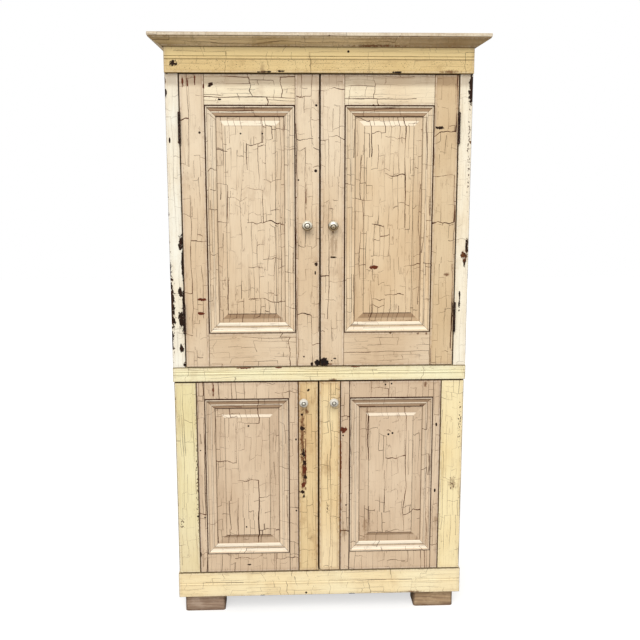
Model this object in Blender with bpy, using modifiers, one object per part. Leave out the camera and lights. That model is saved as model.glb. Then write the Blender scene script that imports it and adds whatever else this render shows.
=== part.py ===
"""Painted country cupboard in two tiers, modelled board by board.

Metres, +Z up, the doors face -Y and the left doors are at -X. The origin is
under the middle of the whole piece, on the floor. Every size is named in the
first block or worked out from it.
"""
import math
from dataclasses import dataclass

import bmesh
import bpy
from mathutils import Matrix, Vector

# Case
CASE_WIDTH = 1.000
CASE_DEPTH = 0.430
SIDE_THICKNESS = 0.018
BACK_THICKNESS = 0.012
BACK_BOARD_COUNT = 5
BACK_SEAM_WIDTH = 0.0015
BACK_SEAM_DEPTH = 0.003
SHELF_THICKNESS = 0.018
DECK_THICKNESS = 0.020
SHELF_SETBACK = 0.010
HOUSING_DEPTH = 0.006
UPPER_SHELF_SHARES = (0.34, 0.66)
LOWER_SHELF_SHARE = 0.52

# Heights of the front, from the floor up
FOOT_HEIGHT = 0.066
BASE_RAIL_HEIGHT = 0.090
LOWER_OPENING_HEIGHT = 0.696
WAIST_RAIL_HEIGHT = 0.048
UPPER_OPENING_HEIGHT = 0.971
FRIEZE_HEIGHT = 0.080
CROWN_HEIGHT = 0.028
CORNICE_TOP_THICKNESS = 0.011

# Feet
FOOT_WIDTH = 0.142
FOOT_DEPTH = 0.090
FOOT_CORNER_RADIUS = 0.010

# Front boards
CORNER_STILE_WIDTH = 0.0412
CORNER_STILE_THICKNESS = 0.022
FRIEZE_THICKNESS = 0.032
WAIST_RAIL_THICKNESS = 0.027
BASE_RAIL_THICKNESS = 0.027
BASE_RAIL_CORNER_RADIUS = 0.018
BEAD_WIDTH = 0.008
QUIRK_WIDTH = 0.002
QUIRK_DEPTH = 0.002
FRIEZE_BEAD_DROP = 0.029
WAIST_BEAD_DROP = 0.017
BASE_BEAD_DROP = 0.040

# Cornice
CROWN_FRONT_REACH = 0.062
CROWN_SIDE_REACH = 0.042
CROWN_NOSE_HEIGHT = 0.003
CROWN_FOOT_SHARE = 0.08
CORNICE_LIP = 0.003

# Doors
MEETING_GAP = 0.004
UPPER_DOOR_THICKNESS = 0.022
UPPER_DOOR_TOP_GAP = 0.0025
UPPER_DOOR_BOTTOM_GAP = 0.0025
UPPER_STILE_WIDTH = 0.079
UPPER_TOP_RAIL_HEIGHT = 0.098
UPPER_BOTTOM_RAIL_HEIGHT = 0.115
LOWER_DOOR_THICKNESS = 0.022
LOWER_DOOR_TOP_GAP = 0.004
LOWER_DOOR_BOTTOM_GAP = 0.003
LOWER_DOOR_EDGE_INSET = 0.004
LOWER_MEETING_OFFSET = -0.005
LEFT_OUTER_BOARD_WIDTH = 0.072
LEFT_INNER_BOARD_WIDTH = 0.067
RIGHT_OUTER_BOARD_WIDTH = 0.077
RIGHT_INNER_BOARD_WIDTH = 0.072
LOWER_OUTER_STILE_WIDTH = 0.027
LOWER_INNER_STILE_WIDTH = 0.032
LOWER_TOP_RAIL_HEIGHT = 0.058
LOWER_BOTTOM_RAIL_HEIGHT = 0.067
WORN_CORNER_RADIUS = 0.015
TENON_LENGTH = 0.014
TENON_CHEEK = 0.007

# Panels and the moulding round them
GROOVE_SETBACK = 0.0105
GROOVE_WIDTH = 0.008
GROOVE_DEPTH = 0.006
PANEL_BEVEL_WIDTH = 0.030
PANEL_BEVEL_RISE = 0.0052
PANEL_STEP = 0.0014
MOULDING_WIDTH = 0.036
MOULDING_PROUD = 0.0015
MOULDING_RIM_WIDTH = 0.007
MOULDING_COVE_WIDTH = 0.012
MOULDING_COVE_DROP = 0.006
MOULDING_FILLET_WIDTH = 0.005
MOULDING_EDGE = 0.0008

# Butt hinges of the upper doors
LEAF_THICKNESS = 0.0015
LEAF_CLEARANCE = 0.0009
BARREL_RADIUS = 0.0045
BARREL_CLEARANCE = 0.0006
PIN_RADIUS = 0.0020
PIN_CLEARANCE = 0.0004
KNUCKLE_COUNT = 5
KNUCKLE_GAP = 0.0006
HINGE_HEIGHT = 0.101
LEAF_REACH = 0.021
HINGE_TOP_INSET = 0.173
HINGE_BOTTOM_INSET = 0.169
LEAF_END_INSET = 0.0005

# Pivot pins of the lower doors
PIVOT_RADIUS = 0.003
PIVOT_BITE = 0.018
PIVOT_EDGE_INSET = 0.010
PIVOT_CLEARANCE = 0.0004
LOWER_DOOR_STAND_OFF = 0.004

# Knobs
METAL_KNOB_RADIUS = 0.0165
METAL_KNOB_REACH = 0.036
METAL_KNOB_DROOP = math.radians(7)
UPPER_KNOB_SETBACK = 0.041
UPPER_KNOB_SHARE = 0.496
CHINA_KNOB_RADIUS = 0.0155
CHINA_KNOB_REACH = 0.031
LOWER_KNOB_SETBACK = 0.050
LOWER_KNOB_DROP = 0.076
KNOB_SHANK_RADIUS = 0.0035
KNOB_SHANK_DEPTH = 0.012

# Fits
JOINT_GAP = 0.0003
BOARD_EASE = 0.0012
OVERRUN = 0.010
WELD_DISTANCE = 0.00001
BARREL_SIDES = 12
KNOB_STEPS = 20
ARC_STEPS = 4

# Heights worked out from the floor up
base_rail_low = FOOT_HEIGHT
lower_opening_low = base_rail_low + BASE_RAIL_HEIGHT
waist_rail_low = lower_opening_low + LOWER_OPENING_HEIGHT
upper_opening_low = waist_rail_low + WAIST_RAIL_HEIGHT
frieze_low = upper_opening_low + UPPER_OPENING_HEIGHT
crown_low = frieze_low + FRIEZE_HEIGHT
cornice_low = crown_low + CROWN_HEIGHT
cornice_high = cornice_low + CORNICE_TOP_THICKNESS

# Planes from back to front and from the middle out
front_reach = CROWN_FRONT_REACH + CORNICE_LIP
total_depth = front_reach + CORNER_STILE_THICKNESS + JOINT_GAP + CASE_DEPTH
back_plane = total_depth / 2
case_front = back_plane - CASE_DEPTH
face_plane = case_front - JOINT_GAP - CORNER_STILE_THICKNESS
frieze_face = case_front - JOINT_GAP - FRIEZE_THICKNESS
half_width = CASE_WIDTH / 2
side_inner = half_width - SIDE_THICKNESS
hinge_gap = 2 * (JOINT_GAP + LEAF_THICKNESS) + LEAF_CLEARANCE
lower_door_back = case_front - LOWER_DOOR_STAND_OFF
lower_door_face = lower_door_back - LOWER_DOOR_THICKNESS
shelf_back = back_plane - BACK_THICKNESS - JOINT_GAP
stile_inner = half_width - CORNER_STILE_WIDTH


@dataclass
class Finish:
    """Colour and surface of one kind of piece."""

    name: str
    colour: tuple
    roughness: float
    metallic: float = 0.0

    def material(self):
        """Returns this finish as a material, made once."""
        found = bpy.data.materials.get(self.name)
        if found:
            return found
        made = bpy.data.materials.new(self.name)
        made.use_nodes = True
        shader = made.node_tree.nodes["Principled BSDF"]
        shader.inputs["Base Color"].default_value = (*self.colour, 1)
        shader.inputs["Roughness"].default_value = self.roughness
        shader.inputs["Metallic"].default_value = self.metallic
        made.diffuse_color = (*self.colour, 1)
        return made


BEIGE_PAINT = Finish("beige_paint", (0.69, 0.54, 0.40), 0.55)
GREYED_BEIGE_PAINT = Finish("greyed_beige_paint", (0.60, 0.46, 0.34), 0.55)
YELLOW_PAINT = Finish("yellow_paint", (0.85, 0.74, 0.46), 0.5)
CREAM_PAINT = Finish("cream_paint", (0.92, 0.87, 0.72), 0.5)
DIRTY_CREAM_PAINT = Finish("dirty_cream_paint", (0.55, 0.47, 0.34), 0.6)
BARE_WOOD = Finish("bare_wood", (0.36, 0.25, 0.16), 0.7)
WEATHERED_WOOD = Finish("weathered_wood", (0.28, 0.20, 0.15), 0.75)
DARK_IRON = Finish("dark_iron", (0.05, 0.04, 0.035), 0.6, 0.8)
AGED_NICKEL = Finish("aged_nickel", (0.45, 0.38, 0.28), 0.4, 1.0)
WHITE_CHINA = Finish("white_china", (0.86, 0.82, 0.72), 0.2)


def clear_scene():
    """Removes every object of the start-up scene."""
    for thing in list(bpy.data.objects):
        bpy.data.objects.remove(thing)


def new_collection(name):
    """Returns a new collection linked to the scene."""
    made = bpy.data.collections.new(name)
    bpy.context.scene.collection.children.link(made)
    return made


clear_scene()
parts = new_collection("cupboard")
cutters = new_collection("cutters")


def add_block(shape, low, high, ease=BOARD_EASE):
    """Adds a box between two corners to a shape, with its edges eased."""
    low, high = Vector(low), Vector(high)
    place = Matrix.Translation((low + high) / 2) @ Matrix.Diagonal((*(high - low), 1))
    verts = set(bmesh.ops.create_cube(shape, size=1, matrix=place)["verts"])
    if ease:
        edges = [edge for edge in shape.edges if edge.verts[0] in verts]
        bmesh.ops.bevel(shape, geom=edges, offset=ease, segments=1, profile=0.5, affect="EDGES")


def add_rod(shape, radius, low, high, across=0, back=0):
    """Adds an upright rod to a shape, between two heights."""
    place = Matrix.Translation((across, back, (low + high) / 2))
    bmesh.ops.create_cone(shape, cap_ends=True, segments=BARREL_SIDES, radius1=radius, radius2=radius,
                          depth=high - low, matrix=place)


def add_outline(shape, points, thickness, place):
    """Adds a flat outline with thickness, centred on its plane, as a closed body.

    The outline is a filled 2D curve, extruded by half its thickness each way.
    """
    curve = bpy.data.curves.new("outline", "CURVE")
    curve.dimensions = "2D"
    curve.fill_mode = "BOTH"
    curve.extrude = thickness / 2
    spline = curve.splines.new("POLY")
    spline.points.add(len(points) - 1)
    for point, (across, up) in zip(spline.points, points):
        point.co = (across, up, 0, 1)
    spline.use_cyclic_u = True
    guide = bpy.data.objects.new("outline", curve)
    bpy.context.scene.collection.objects.link(guide)
    bpy.context.view_layer.update()
    drawn = guide.evaluated_get(bpy.context.evaluated_depsgraph_get())
    mesh = bpy.data.meshes.new_from_object(drawn)
    bpy.data.objects.remove(guide)
    mesh.transform(place)
    piece = bmesh.new()
    piece.from_mesh(mesh)
    bmesh.ops.remove_doubles(piece, verts=piece.verts, dist=WELD_DISTANCE)
    bmesh.ops.recalc_face_normals(piece, faces=piece.faces)
    piece.to_mesh(mesh)
    piece.free()
    shape.from_mesh(mesh)
    bpy.data.meshes.remove(mesh)


def append(shape, piece):
    """Adds a finished piece to a shape and frees it."""
    made = bpy.data.meshes.new("piece")
    piece.to_mesh(made)
    piece.free()
    shape.from_mesh(made)
    bpy.data.meshes.remove(made)


def slice_off(shape, point, normal):
    """Cuts away what lies beyond a plane and closes the cut."""
    everything = [*shape.verts, *shape.edges, *shape.faces]
    cut = bmesh.ops.bisect_plane(shape, geom=everything, plane_co=point, plane_no=normal,
                                 clear_outer=True)["geom_cut"]
    rim = [item for item in cut if isinstance(item, bmesh.types.BMEdge)]
    bmesh.ops.edgeloop_fill(shape, edges=rim)


def round_edge(shape, chosen, radius):
    """Rounds the edges that a test picks."""
    edges = [edge for edge in shape.edges if all(chosen(vert.co) for vert in edge.verts)]
    bmesh.ops.bevel(shape, geom=edges, offset=radius, segments=ARC_STEPS, profile=0.5, affect="EDGES")


def finish_piece(name, shape, finish, parent=None, smooth=False):
    """Turns a shape drawn in place into a named piece.

    The piece's origin is the middle of its box, and its parent carries it.
    """
    points = [vert.co for vert in shape.verts]
    low = Vector([min(point[axis] for point in points) for axis in range(3)])
    high = Vector([max(point[axis] for point in points) for axis in range(3)])
    middle = (low + high) / 2
    bmesh.ops.translate(shape, verts=shape.verts, vec=-middle)
    bmesh.ops.recalc_face_normals(shape, faces=shape.faces)
    mesh = bpy.data.meshes.new(name)
    shape.to_mesh(mesh)
    shape.free()
    if smooth:
        mesh.shade_smooth()
        mesh.set_sharp_from_angle(angle=math.radians(30))
    piece = bpy.data.objects.new(name, mesh)
    parts.objects.link(piece)
    piece.location = middle - (parent.location if parent else Vector())
    piece.parent = parent
    mesh.materials.append(finish.material())
    return piece


def board(name, low, high, finish, parent=None):
    """Returns one plain board between two corners."""
    shape = bmesh.new()
    add_block(shape, low, high)
    return finish_piece(name, shape, finish, parent)


def make_cutter(name, shape, parent=None):
    """Turns a shape drawn in place into a hidden cutter."""
    mesh = bpy.data.meshes.new(name)
    bmesh.ops.recalc_face_normals(shape, faces=shape.faces)
    shape.to_mesh(mesh)
    shape.free()
    cutter = bpy.data.objects.new(name, mesh)
    cutters.objects.link(cutter)
    if parent:
        cutter.parent = parent
        cutter.location = -parent.location
    cutter.hide_render = True
    cutter.display_type = "WIRE"
    return cutter


def combine(piece, cutter, operation):
    """Joins a piece with a cutter or cuts it by one."""
    change = piece.modifiers.new(cutter.name, "BOOLEAN")
    change.operation = operation
    change.object = cutter


def spread(side, inner, outer):
    """Returns the low and high X of a span given outwards from the middle, on one side."""
    return tuple(sorted((side * inner, side * outer)))


def arc(centre, radii, start, end, steps=ARC_STEPS):
    """Points of an elliptical arc, given by its centre, radii and end angles in degrees."""
    angles = [math.radians(start + (end - start) * step / steps) for step in range(steps + 1)]
    return [(centre[0] + radii[0] * math.cos(turn), centre[1] + radii[1] * math.sin(turn))
            for turn in angles]


# Case

def level_plans():
    """Name, top height, set-back and thickness of every level board."""
    lower_height = LOWER_OPENING_HEIGHT + WAIST_RAIL_HEIGHT - DECK_THICKNESS
    plans = [
        ("bottom_board", lower_opening_low, JOINT_GAP, DECK_THICKNESS),
        ("lower_shelf", lower_opening_low + lower_height * LOWER_SHELF_SHARE,
         SHELF_SETBACK, SHELF_THICKNESS),
        ("waist_deck", upper_opening_low, JOINT_GAP, DECK_THICKNESS),
    ]
    for name, share in zip(("upper_shelf_low", "upper_shelf_high"), UPPER_SHELF_SHARES):
        plans.append((name, upper_opening_low + UPPER_OPENING_HEIGHT * share,
                      SHELF_SETBACK, SHELF_THICKNESS))
    return plans


def make_side(name, side):
    """One side board with a housing for the end of every level board."""
    inner, outer = spread(side, side_inner, half_width)
    piece = board(name, (inner, case_front, base_rail_low + JOINT_GAP),
                  (outer, back_plane, cornice_low - JOINT_GAP), CREAM_PAINT)
    shape = bmesh.new()
    first, last = spread(side, side_inner - OVERRUN, side_inner + HOUSING_DEPTH)
    for _, top, setback, thickness in level_plans():
        start = case_front - OVERRUN if setback == JOINT_GAP else case_front + setback - JOINT_GAP
        add_block(shape, (first, start, top - thickness - JOINT_GAP),
                  (last, shelf_back + JOINT_GAP, top + JOINT_GAP), 0)
    combine(piece, make_cutter(name + "_housings", shape), "DIFFERENCE")


def make_levels():
    """Bottom board, shelves and deck, their ends let into the sides."""
    reach = side_inner + HOUSING_DEPTH - JOINT_GAP
    for name, top, setback, thickness in level_plans():
        board(name, (-reach, case_front + setback, top - thickness), (reach, shelf_back, top), BARE_WOOD)


def make_back():
    """The back: boards side by side, glued at their edges, with a seam on both faces of each joint."""
    reach = side_inner - JOINT_GAP
    pitch = 2 * reach / BACK_BOARD_COUNT
    low, high = base_rail_low + JOINT_GAP, cornice_low - JOINT_GAP
    near, far = back_plane - BACK_THICKNESS, back_plane
    seams = [number * pitch - reach for number in range(1, BACK_BOARD_COUNT)]
    notch = [(-BACK_SEAM_WIDTH / 2, 0), (0, BACK_SEAM_DEPTH), (BACK_SEAM_WIDTH / 2, 0)]
    front = [(seam + across, near + depth) for seam in seams for across, depth in notch]
    rear = [(seam - across, far - depth) for seam in reversed(seams) for across, depth in notch]
    points = [(-reach, near)] + front + [(reach, near), (reach, far)] + rear + [(-reach, far)]
    shape = bmesh.new()
    add_outline(shape, points, high - low, Matrix.Translation((0, 0, (low + high) / 2)))
    finish_piece("back_panel", shape, BARE_WOOD)


def make_foot(name, side, front):
    """One corner block: it carries the bottom board and stands out below as a foot."""
    outer = side_inner - JOINT_GAP
    inner_x, outer_x = spread(side, outer - FOOT_WIDTH, outer)
    start = case_front + JOINT_GAP if front else shelf_back - FOOT_DEPTH
    high = lower_opening_low - DECK_THICKNESS - JOINT_GAP
    shape = bmesh.new()
    add_block(shape, (inner_x, start, 0), (outer_x, start + FOOT_DEPTH, high), 0)
    upright = [edge for edge in shape.edges
               if abs(edge.verts[0].co.z - edge.verts[1].co.z) > FOOT_HEIGHT / 2]
    bmesh.ops.bevel(shape, geom=upright, offset=FOOT_CORNER_RADIUS, segments=ARC_STEPS,
                    profile=0.5, affect="EDGES")
    finish_piece(name, shape, WEATHERED_WOOD)


# Front boards

def beaded_outline(thickness, height, bead_drop):
    """Section of a front board with one bead between two quirks.

    Points are (depth behind the back face, height), the front at -thickness.
    """
    bead_high = height - bead_drop
    bead_low = bead_high - BEAD_WIDTH
    bead_middle = (bead_high + bead_low) / 2
    points = [(0, 0), (0, height), (BOARD_EASE - thickness, height), (-thickness, height - BOARD_EASE),
              (-thickness, bead_high + QUIRK_WIDTH)]
    points += [(point[0] - thickness, point[1]) for point in
               arc((QUIRK_DEPTH, bead_middle), (QUIRK_DEPTH, BEAD_WIDTH / 2), 90, 270, 2 * ARC_STEPS)]
    points += [(-thickness, bead_low - QUIRK_WIDTH), (-thickness, BOARD_EASE), (BOARD_EASE - thickness, 0)]
    return points


def along_x(back, low):
    """Placement that lays an outline's X along the depth, its Y upright and its length along X."""
    turn = Matrix(((0, 0, 1), (1, 0, 0), (0, 1, 0))).to_4x4()
    return Matrix.Translation((0, back, low)) @ turn


def make_front_rail(name, low, height, thickness, bead_drop, finish, worn_corner=0):
    """One full-width front board with its bead, and one corner worn round if asked."""
    shape = bmesh.new()
    add_outline(shape, beaded_outline(thickness, height, bead_drop), CASE_WIDTH,
                along_x(case_front - JOINT_GAP, low))
    if worn_corner:
        round_edge(shape, lambda point: point.x > half_width - WELD_DISTANCE
                   and point.z < low + WELD_DISTANCE, worn_corner)
    return finish_piece(name, shape, finish)


def make_front_boards():
    """Base rail, waist rail, frieze and the two corner stiles."""
    make_front_rail("base_rail", base_rail_low + JOINT_GAP, BASE_RAIL_HEIGHT - JOINT_GAP,
                    BASE_RAIL_THICKNESS, BASE_BEAD_DROP, YELLOW_PAINT, BASE_RAIL_CORNER_RADIUS)
    make_front_rail("waist_rail", waist_rail_low, WAIST_RAIL_HEIGHT, WAIST_RAIL_THICKNESS,
                    WAIST_BEAD_DROP, YELLOW_PAINT)
    make_front_rail("frieze_board", frieze_low, FRIEZE_HEIGHT + CROWN_HEIGHT - JOINT_GAP,
                    FRIEZE_THICKNESS, FRIEZE_BEAD_DROP + CROWN_HEIGHT - JOINT_GAP, YELLOW_PAINT)
    for name, side in (("left_corner_stile", -1), ("right_corner_stile", 1)):
        inner, outer = spread(side, stile_inner, half_width)
        board(name, (inner, face_plane, upper_opening_low + JOINT_GAP),
              (outer, case_front - JOINT_GAP, frieze_low - JOINT_GAP), CREAM_PAINT)


# Cornice

def crown_outline(reach):
    """Section of the sloping crown: outward reach and height above its foot."""
    height = CROWN_HEIGHT - JOINT_GAP
    return [(0, 0), (reach * CROWN_FOOT_SHARE, 0), (reach, height - CROWN_NOSE_HEIGHT),
            (reach, height), (0, height)]


def make_crown(name, outward, wall, reach, ends):
    """One length of crown on a wall, mitred at each end that has an outward corner.

    outward is the wall's outward direction and wall a point on it. ends lists a
    point and a keep-away direction for each mitre cut.
    """
    up = Vector((0, 0, 1))
    along = outward.cross(up)
    turn = Matrix((outward, up, along)).transposed().to_4x4()
    length = CASE_WIDTH + 2 * total_depth
    shape = bmesh.new()
    add_outline(shape, crown_outline(reach), length, Matrix.Translation(wall) @ turn)
    for point, normal in ends:
        slice_off(shape, point, normal)
    finish_piece(name, shape, DIRTY_CREAM_PAINT)


def make_cornice():
    """Crown on the front and both sides, and the thin top board over all."""
    front_wall = frieze_face - JOINT_GAP
    side_wall = half_width + JOINT_GAP
    front_run = CROWN_FRONT_REACH - (face_plane - front_wall)
    up = Vector((0, 0, 1))
    mitres = {}
    for side in (-1, 1):
        corner = Vector((side * side_wall, front_wall, crown_low))
        mitre = Vector((side * CROWN_SIDE_REACH, -front_run, 0))
        outward = mitre.cross(up).normalized() * side
        mitres[side] = (corner, outward)
        back_end = (Vector((0, back_plane, crown_low)), Vector((0, 1, 0)))
        make_crown("crown_right" if side > 0 else "crown_left", Vector((side, 0, 0)), corner,
                   CROWN_SIDE_REACH, [(corner - outward * JOINT_GAP / 2, outward), back_end])
    ends = [(corner + outward * JOINT_GAP / 2, -outward) for corner, outward in mitres.values()]
    make_crown("crown_front", Vector((0, -1, 0)), Vector((0, front_wall, crown_low)), front_run, ends)
    overhang = half_width + CROWN_SIDE_REACH + CORNICE_LIP
    board("cornice_top", (-overhang, face_plane - front_reach, cornice_low),
          (overhang, back_plane, cornice_high), DIRTY_CREAM_PAINT)


# Door frames, panels and mouldings

def draw_out(shape, face, step):
    """Extrudes one face and moves the new one, and returns it."""
    drawn = bmesh.ops.extrude_discrete_faces(shape, faces=[face])["faces"][0]
    bmesh.ops.translate(shape, verts=drawn.verts, vec=step)
    return drawn


def front_face(shape):
    """The face nearest to the front."""
    return min(shape.faces, key=lambda face: face.calc_center_median().y)


@dataclass
class Frame:
    """One stile-and-rail frame with its panel and moulding, in world places."""

    name: str
    parent: bpy.types.Object
    left: float
    right: float
    low: float
    high: float
    face: float
    thickness: float
    left_stile: float
    right_stile: float
    top_rail: float
    bottom_rail: float
    finish: Finish

    def opening(self):
        """Left, right, low and high edges of the opening."""
        return (self.left + self.left_stile, self.right - self.right_stile,
                self.low + self.bottom_rail, self.high - self.top_rail)

    def stile_spans(self):
        """Left and right edges of the left and the right stile."""
        open_left, open_right, _, _ = self.opening()
        return [(self.left, open_left), (open_right, self.right)]

    def rail_spans(self):
        """Heights of the top and the bottom rail."""
        _, _, open_low, open_high = self.opening()
        return [(open_high, self.high), (self.low, open_low)]

    def add_rail(self, shape, low, high):
        """Adds a rail with a tenon drawn out of the middle of each end."""
        open_left, open_right, _, _ = self.opening()
        rail = bmesh.new()
        add_block(rail, (open_left + JOINT_GAP, self.face, low),
                  (open_right - JOINT_GAP, self.face + self.thickness, high))
        for side in (-1, 1):
            end = max(rail.faces, key=lambda face: side * face.calc_center_median().x)
            bmesh.ops.inset_region(rail, faces=[end], thickness=TENON_CHEEK, use_even_offset=True)
            draw_out(rail, end, (side * TENON_LENGTH, 0, 0))
        append(shape, rail)

    def mortises(self):
        """Cutter for the four mortises, a little larger than the tenons."""
        open_left, open_right, _, _ = self.opening()
        cheek = TENON_CHEEK - JOINT_GAP
        shape = bmesh.new()
        for low, high in self.rail_spans():
            for edge, side in ((open_left, -1), (open_right, 1)):
                first, last = sorted((edge - side * OVERRUN, edge + side * (TENON_LENGTH + JOINT_GAP)))
                add_block(shape, (first, self.face + cheek, low + cheek),
                          (last, self.face + self.thickness - cheek, high - cheek), 0)
        return make_cutter(self.name + "_mortises", shape, self.parent)

    def groove(self):
        """Cutter that ploughs the panel's groove all round the opening."""
        open_left, open_right, open_low, open_high = self.opening()
        start = self.face + GROOVE_SETBACK
        shape = bmesh.new()
        add_block(shape, (open_left - GROOVE_DEPTH, start, open_low - GROOVE_DEPTH),
                  (open_right + GROOVE_DEPTH, start + GROOVE_WIDTH, open_high + GROOVE_DEPTH), 0)
        return make_cutter(self.name + "_groove", shape, self.parent)

    def make_separate(self, stile_names):
        """Two stiles, left first, and two tenoned rails, each its own piece."""
        mortises, groove = self.mortises(), self.groove()
        for name, (first, last) in zip(stile_names, self.stile_spans()):
            stile = board(name, (first, self.face, self.low),
                          (last, self.face + self.thickness, self.high), self.finish, self.parent)
            combine(stile, mortises, "DIFFERENCE")
            combine(stile, groove, "DIFFERENCE")
        for name, (low, high) in zip(("_top_rail", "_bottom_rail"), self.rail_spans()):
            shape = bmesh.new()
            self.add_rail(shape, low, high)
            combine(finish_piece(self.name + name, shape, self.finish, self.parent), groove, "DIFFERENCE")

    def make_glued(self):
        """The whole frame as one glued piece, its tenons fast in the stiles."""
        stiles, rails = bmesh.new(), bmesh.new()
        for first, last in self.stile_spans():
            add_block(stiles, (first, self.face, self.low), (last, self.face + self.thickness, self.high))
        for low, high in self.rail_spans():
            self.add_rail(rails, low, high)
        frame = finish_piece(self.name + "_frame", stiles, self.finish, self.parent)
        combine(frame, make_cutter(self.name + "_rails", rails, self.parent), "UNION")
        combine(frame, self.groove(), "DIFFERENCE")

    def make_panel(self):
        """Raised panel: a flat margin, a wide bevel and a small step up to its field."""
        open_left, open_right, open_low, open_high = self.opening()
        tongue = GROOVE_DEPTH - 2 * JOINT_GAP
        front = self.face + GROOVE_SETBACK + JOINT_GAP
        shape = bmesh.new()
        add_block(shape, (open_left - tongue, front, open_low - tongue),
                  (open_right + tongue, front + GROOVE_WIDTH - 2 * JOINT_GAP, open_high + tongue), 0)
        face = front_face(shape)
        bmesh.ops.inset_region(shape, faces=[face], thickness=tongue + MOULDING_WIDTH,
                               use_even_offset=True)
        bmesh.ops.inset_region(shape, faces=[face], thickness=PANEL_BEVEL_WIDTH, use_even_offset=True)
        bmesh.ops.translate(shape, verts=face.verts, vec=(0, -PANEL_BEVEL_RISE, 0))
        draw_out(shape, face, (0, -PANEL_STEP, 0))
        finish_piece(self.name + "_panel", shape, self.finish, self.parent)

    def moulding_section(self):
        """Section of the moulding: inward from the opening's edge, and out from the frame's face."""
        fillet_start = MOULDING_RIM_WIDTH + MOULDING_COVE_WIDTH
        fillet_end = fillet_start + MOULDING_FILLET_WIDTH
        fillet_height = MOULDING_PROUD - MOULDING_COVE_DROP
        edge_height = MOULDING_EDGE - GROOVE_SETBACK
        cove = arc((fillet_start, MOULDING_PROUD), (MOULDING_COVE_WIDTH, MOULDING_COVE_DROP), 180, 270)
        quarter = arc((fillet_end, edge_height),
                      (MOULDING_WIDTH - JOINT_GAP - fillet_end, fillet_height - edge_height), 90, 0)
        return [(0, MOULDING_PROUD)] + cove + quarter

    def make_moulding(self):
        """The moulding: a ring whose front is stepped inwards to its section."""
        open_left, open_right, open_low, open_high = self.opening()
        left, right = open_left + JOINT_GAP, open_right - JOINT_GAP
        low, high = open_low + JOINT_GAP, open_high - JOINT_GAP
        back = self.face + GROOVE_SETBACK
        shape = bmesh.new()
        add_block(shape, (left, self.face - MOULDING_PROUD, low), (right, back, high), 0)
        face = front_face(shape)
        section = self.moulding_section()
        for (across, out), (next_across, next_out) in zip(section, section[1:]):
            bmesh.ops.inset_region(shape, faces=[face], thickness=next_across - across,
                                   use_even_offset=True)
            bmesh.ops.translate(shape, verts=face.verts, vec=(0, out - next_out, 0))
        hole = bmesh.new()
        add_block(hole, (left + MOULDING_WIDTH, self.face - OVERRUN, low + MOULDING_WIDTH),
                  (right - MOULDING_WIDTH, back + OVERRUN, high - MOULDING_WIDTH), 0)
        ring = finish_piece(self.name + "_moulding", shape, self.finish, self.parent, smooth=True)
        combine(ring, make_cutter(self.name + "_moulding_hole", hole, self.parent), "DIFFERENCE")


# Butt hinges of the upper doors

def upper_hinge_axis(side):
    """X and Y of an upper door's hinge pins, in front of the gap beside the stile."""
    return side * (stile_inner - hinge_gap / 2), face_plane - BARREL_RADIUS - BARREL_CLEARANCE


def hinge_heights():
    """Names and middle heights of an upper door's two hinges."""
    return (("low", upper_opening_low + HINGE_BOTTOM_INSET), ("high", frieze_low - HINGE_TOP_INSET))


def knuckle_spans(first):
    """Heights of every second knuckle along a hinge, from its middle."""
    pitch = HINGE_HEIGHT / KNUCKLE_COUNT
    spans = []
    for number in range(first, KNUCKLE_COUNT, 2):
        low = number * pitch - HINGE_HEIGHT / 2
        high = low + pitch
        spans.append((low + (KNUCKLE_GAP / 2 if number else 0),
                      high - (KNUCKLE_GAP / 2 if number < KNUCKLE_COUNT - 1 else 0)))
    return spans


def leaf_outline(first):
    """Flat leaf with a tab at each of its knuckles: reach back from the pin, and height."""
    root = BARREL_RADIUS + BARREL_CLEARANCE
    half = HINGE_HEIGHT / 2 - LEAF_END_INSET
    tabs = [(root, -half)]
    for low, high in knuckle_spans(first):
        tab_low, tab_high = low + LEAF_END_INSET, high - LEAF_END_INSET
        tabs += [(root, tab_low), (0, tab_low), (0, tab_high), (root, tab_high)]
    tabs.append((root, half))
    if first == 0:
        tabs = tabs[2:]
    if (KNUCKLE_COUNT - first) % 2:
        tabs = tabs[:-2]
    return [(LEAF_REACH, half), (LEAF_REACH, -half)] + tabs


def make_leaf(name, side, height, first, parent=None):
    """One leaf of a butt hinge: the case's with its pin, or the door's with bored knuckles.

    Args:
        side: -1 for the left door and 1 for the right one.
        height: middle height of the hinge.
        first: 0 for the case's leaf and 1 for the door's, its first knuckle.
    """
    leaf, barrel, pin = bmesh.new(), bmesh.new(), bmesh.new()
    up, into = Vector((0, 0, 1)), Vector((0, 1, 0))
    outward = side * (-1 if first else 1) * (LEAF_CLEARANCE + LEAF_THICKNESS) / 2
    turn = Matrix((into, up, into.cross(up))).transposed().to_4x4()
    add_outline(leaf, leaf_outline(first), LEAF_THICKNESS, Matrix.Translation((outward, 0, 0)) @ turn)
    for low, high in knuckle_spans(first):
        add_rod(barrel, BARREL_RADIUS, low, high)
    half = HINGE_HEIGHT / 2 + (OVERRUN if first else -KNUCKLE_GAP)
    add_rod(pin, PIN_RADIUS + (PIN_CLEARANCE if first else 0), -half, half)
    piece = finish_piece(name, leaf, DARK_IRON, parent, smooth=True)
    knuckles = make_cutter(name + "_knuckles", barrel, parent)
    pin = make_cutter(name + "_pin", pin, parent)
    for thing in (piece, knuckles, pin):
        thing.location += Vector((*upper_hinge_axis(side), height))
    combine(piece, knuckles, "UNION")
    combine(piece, pin, "DIFFERENCE" if first else "UNION")


# Pivot pins of the lower doors

def pivot_axis(side):
    """X and Y of a lower door's pivot pins, inside the door near its outer edge."""
    outer_edge = half_width - LOWER_DOOR_EDGE_INSET
    return side * (outer_edge - PIVOT_EDGE_INSET), lower_door_back - LOWER_DOOR_THICKNESS / 2


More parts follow.
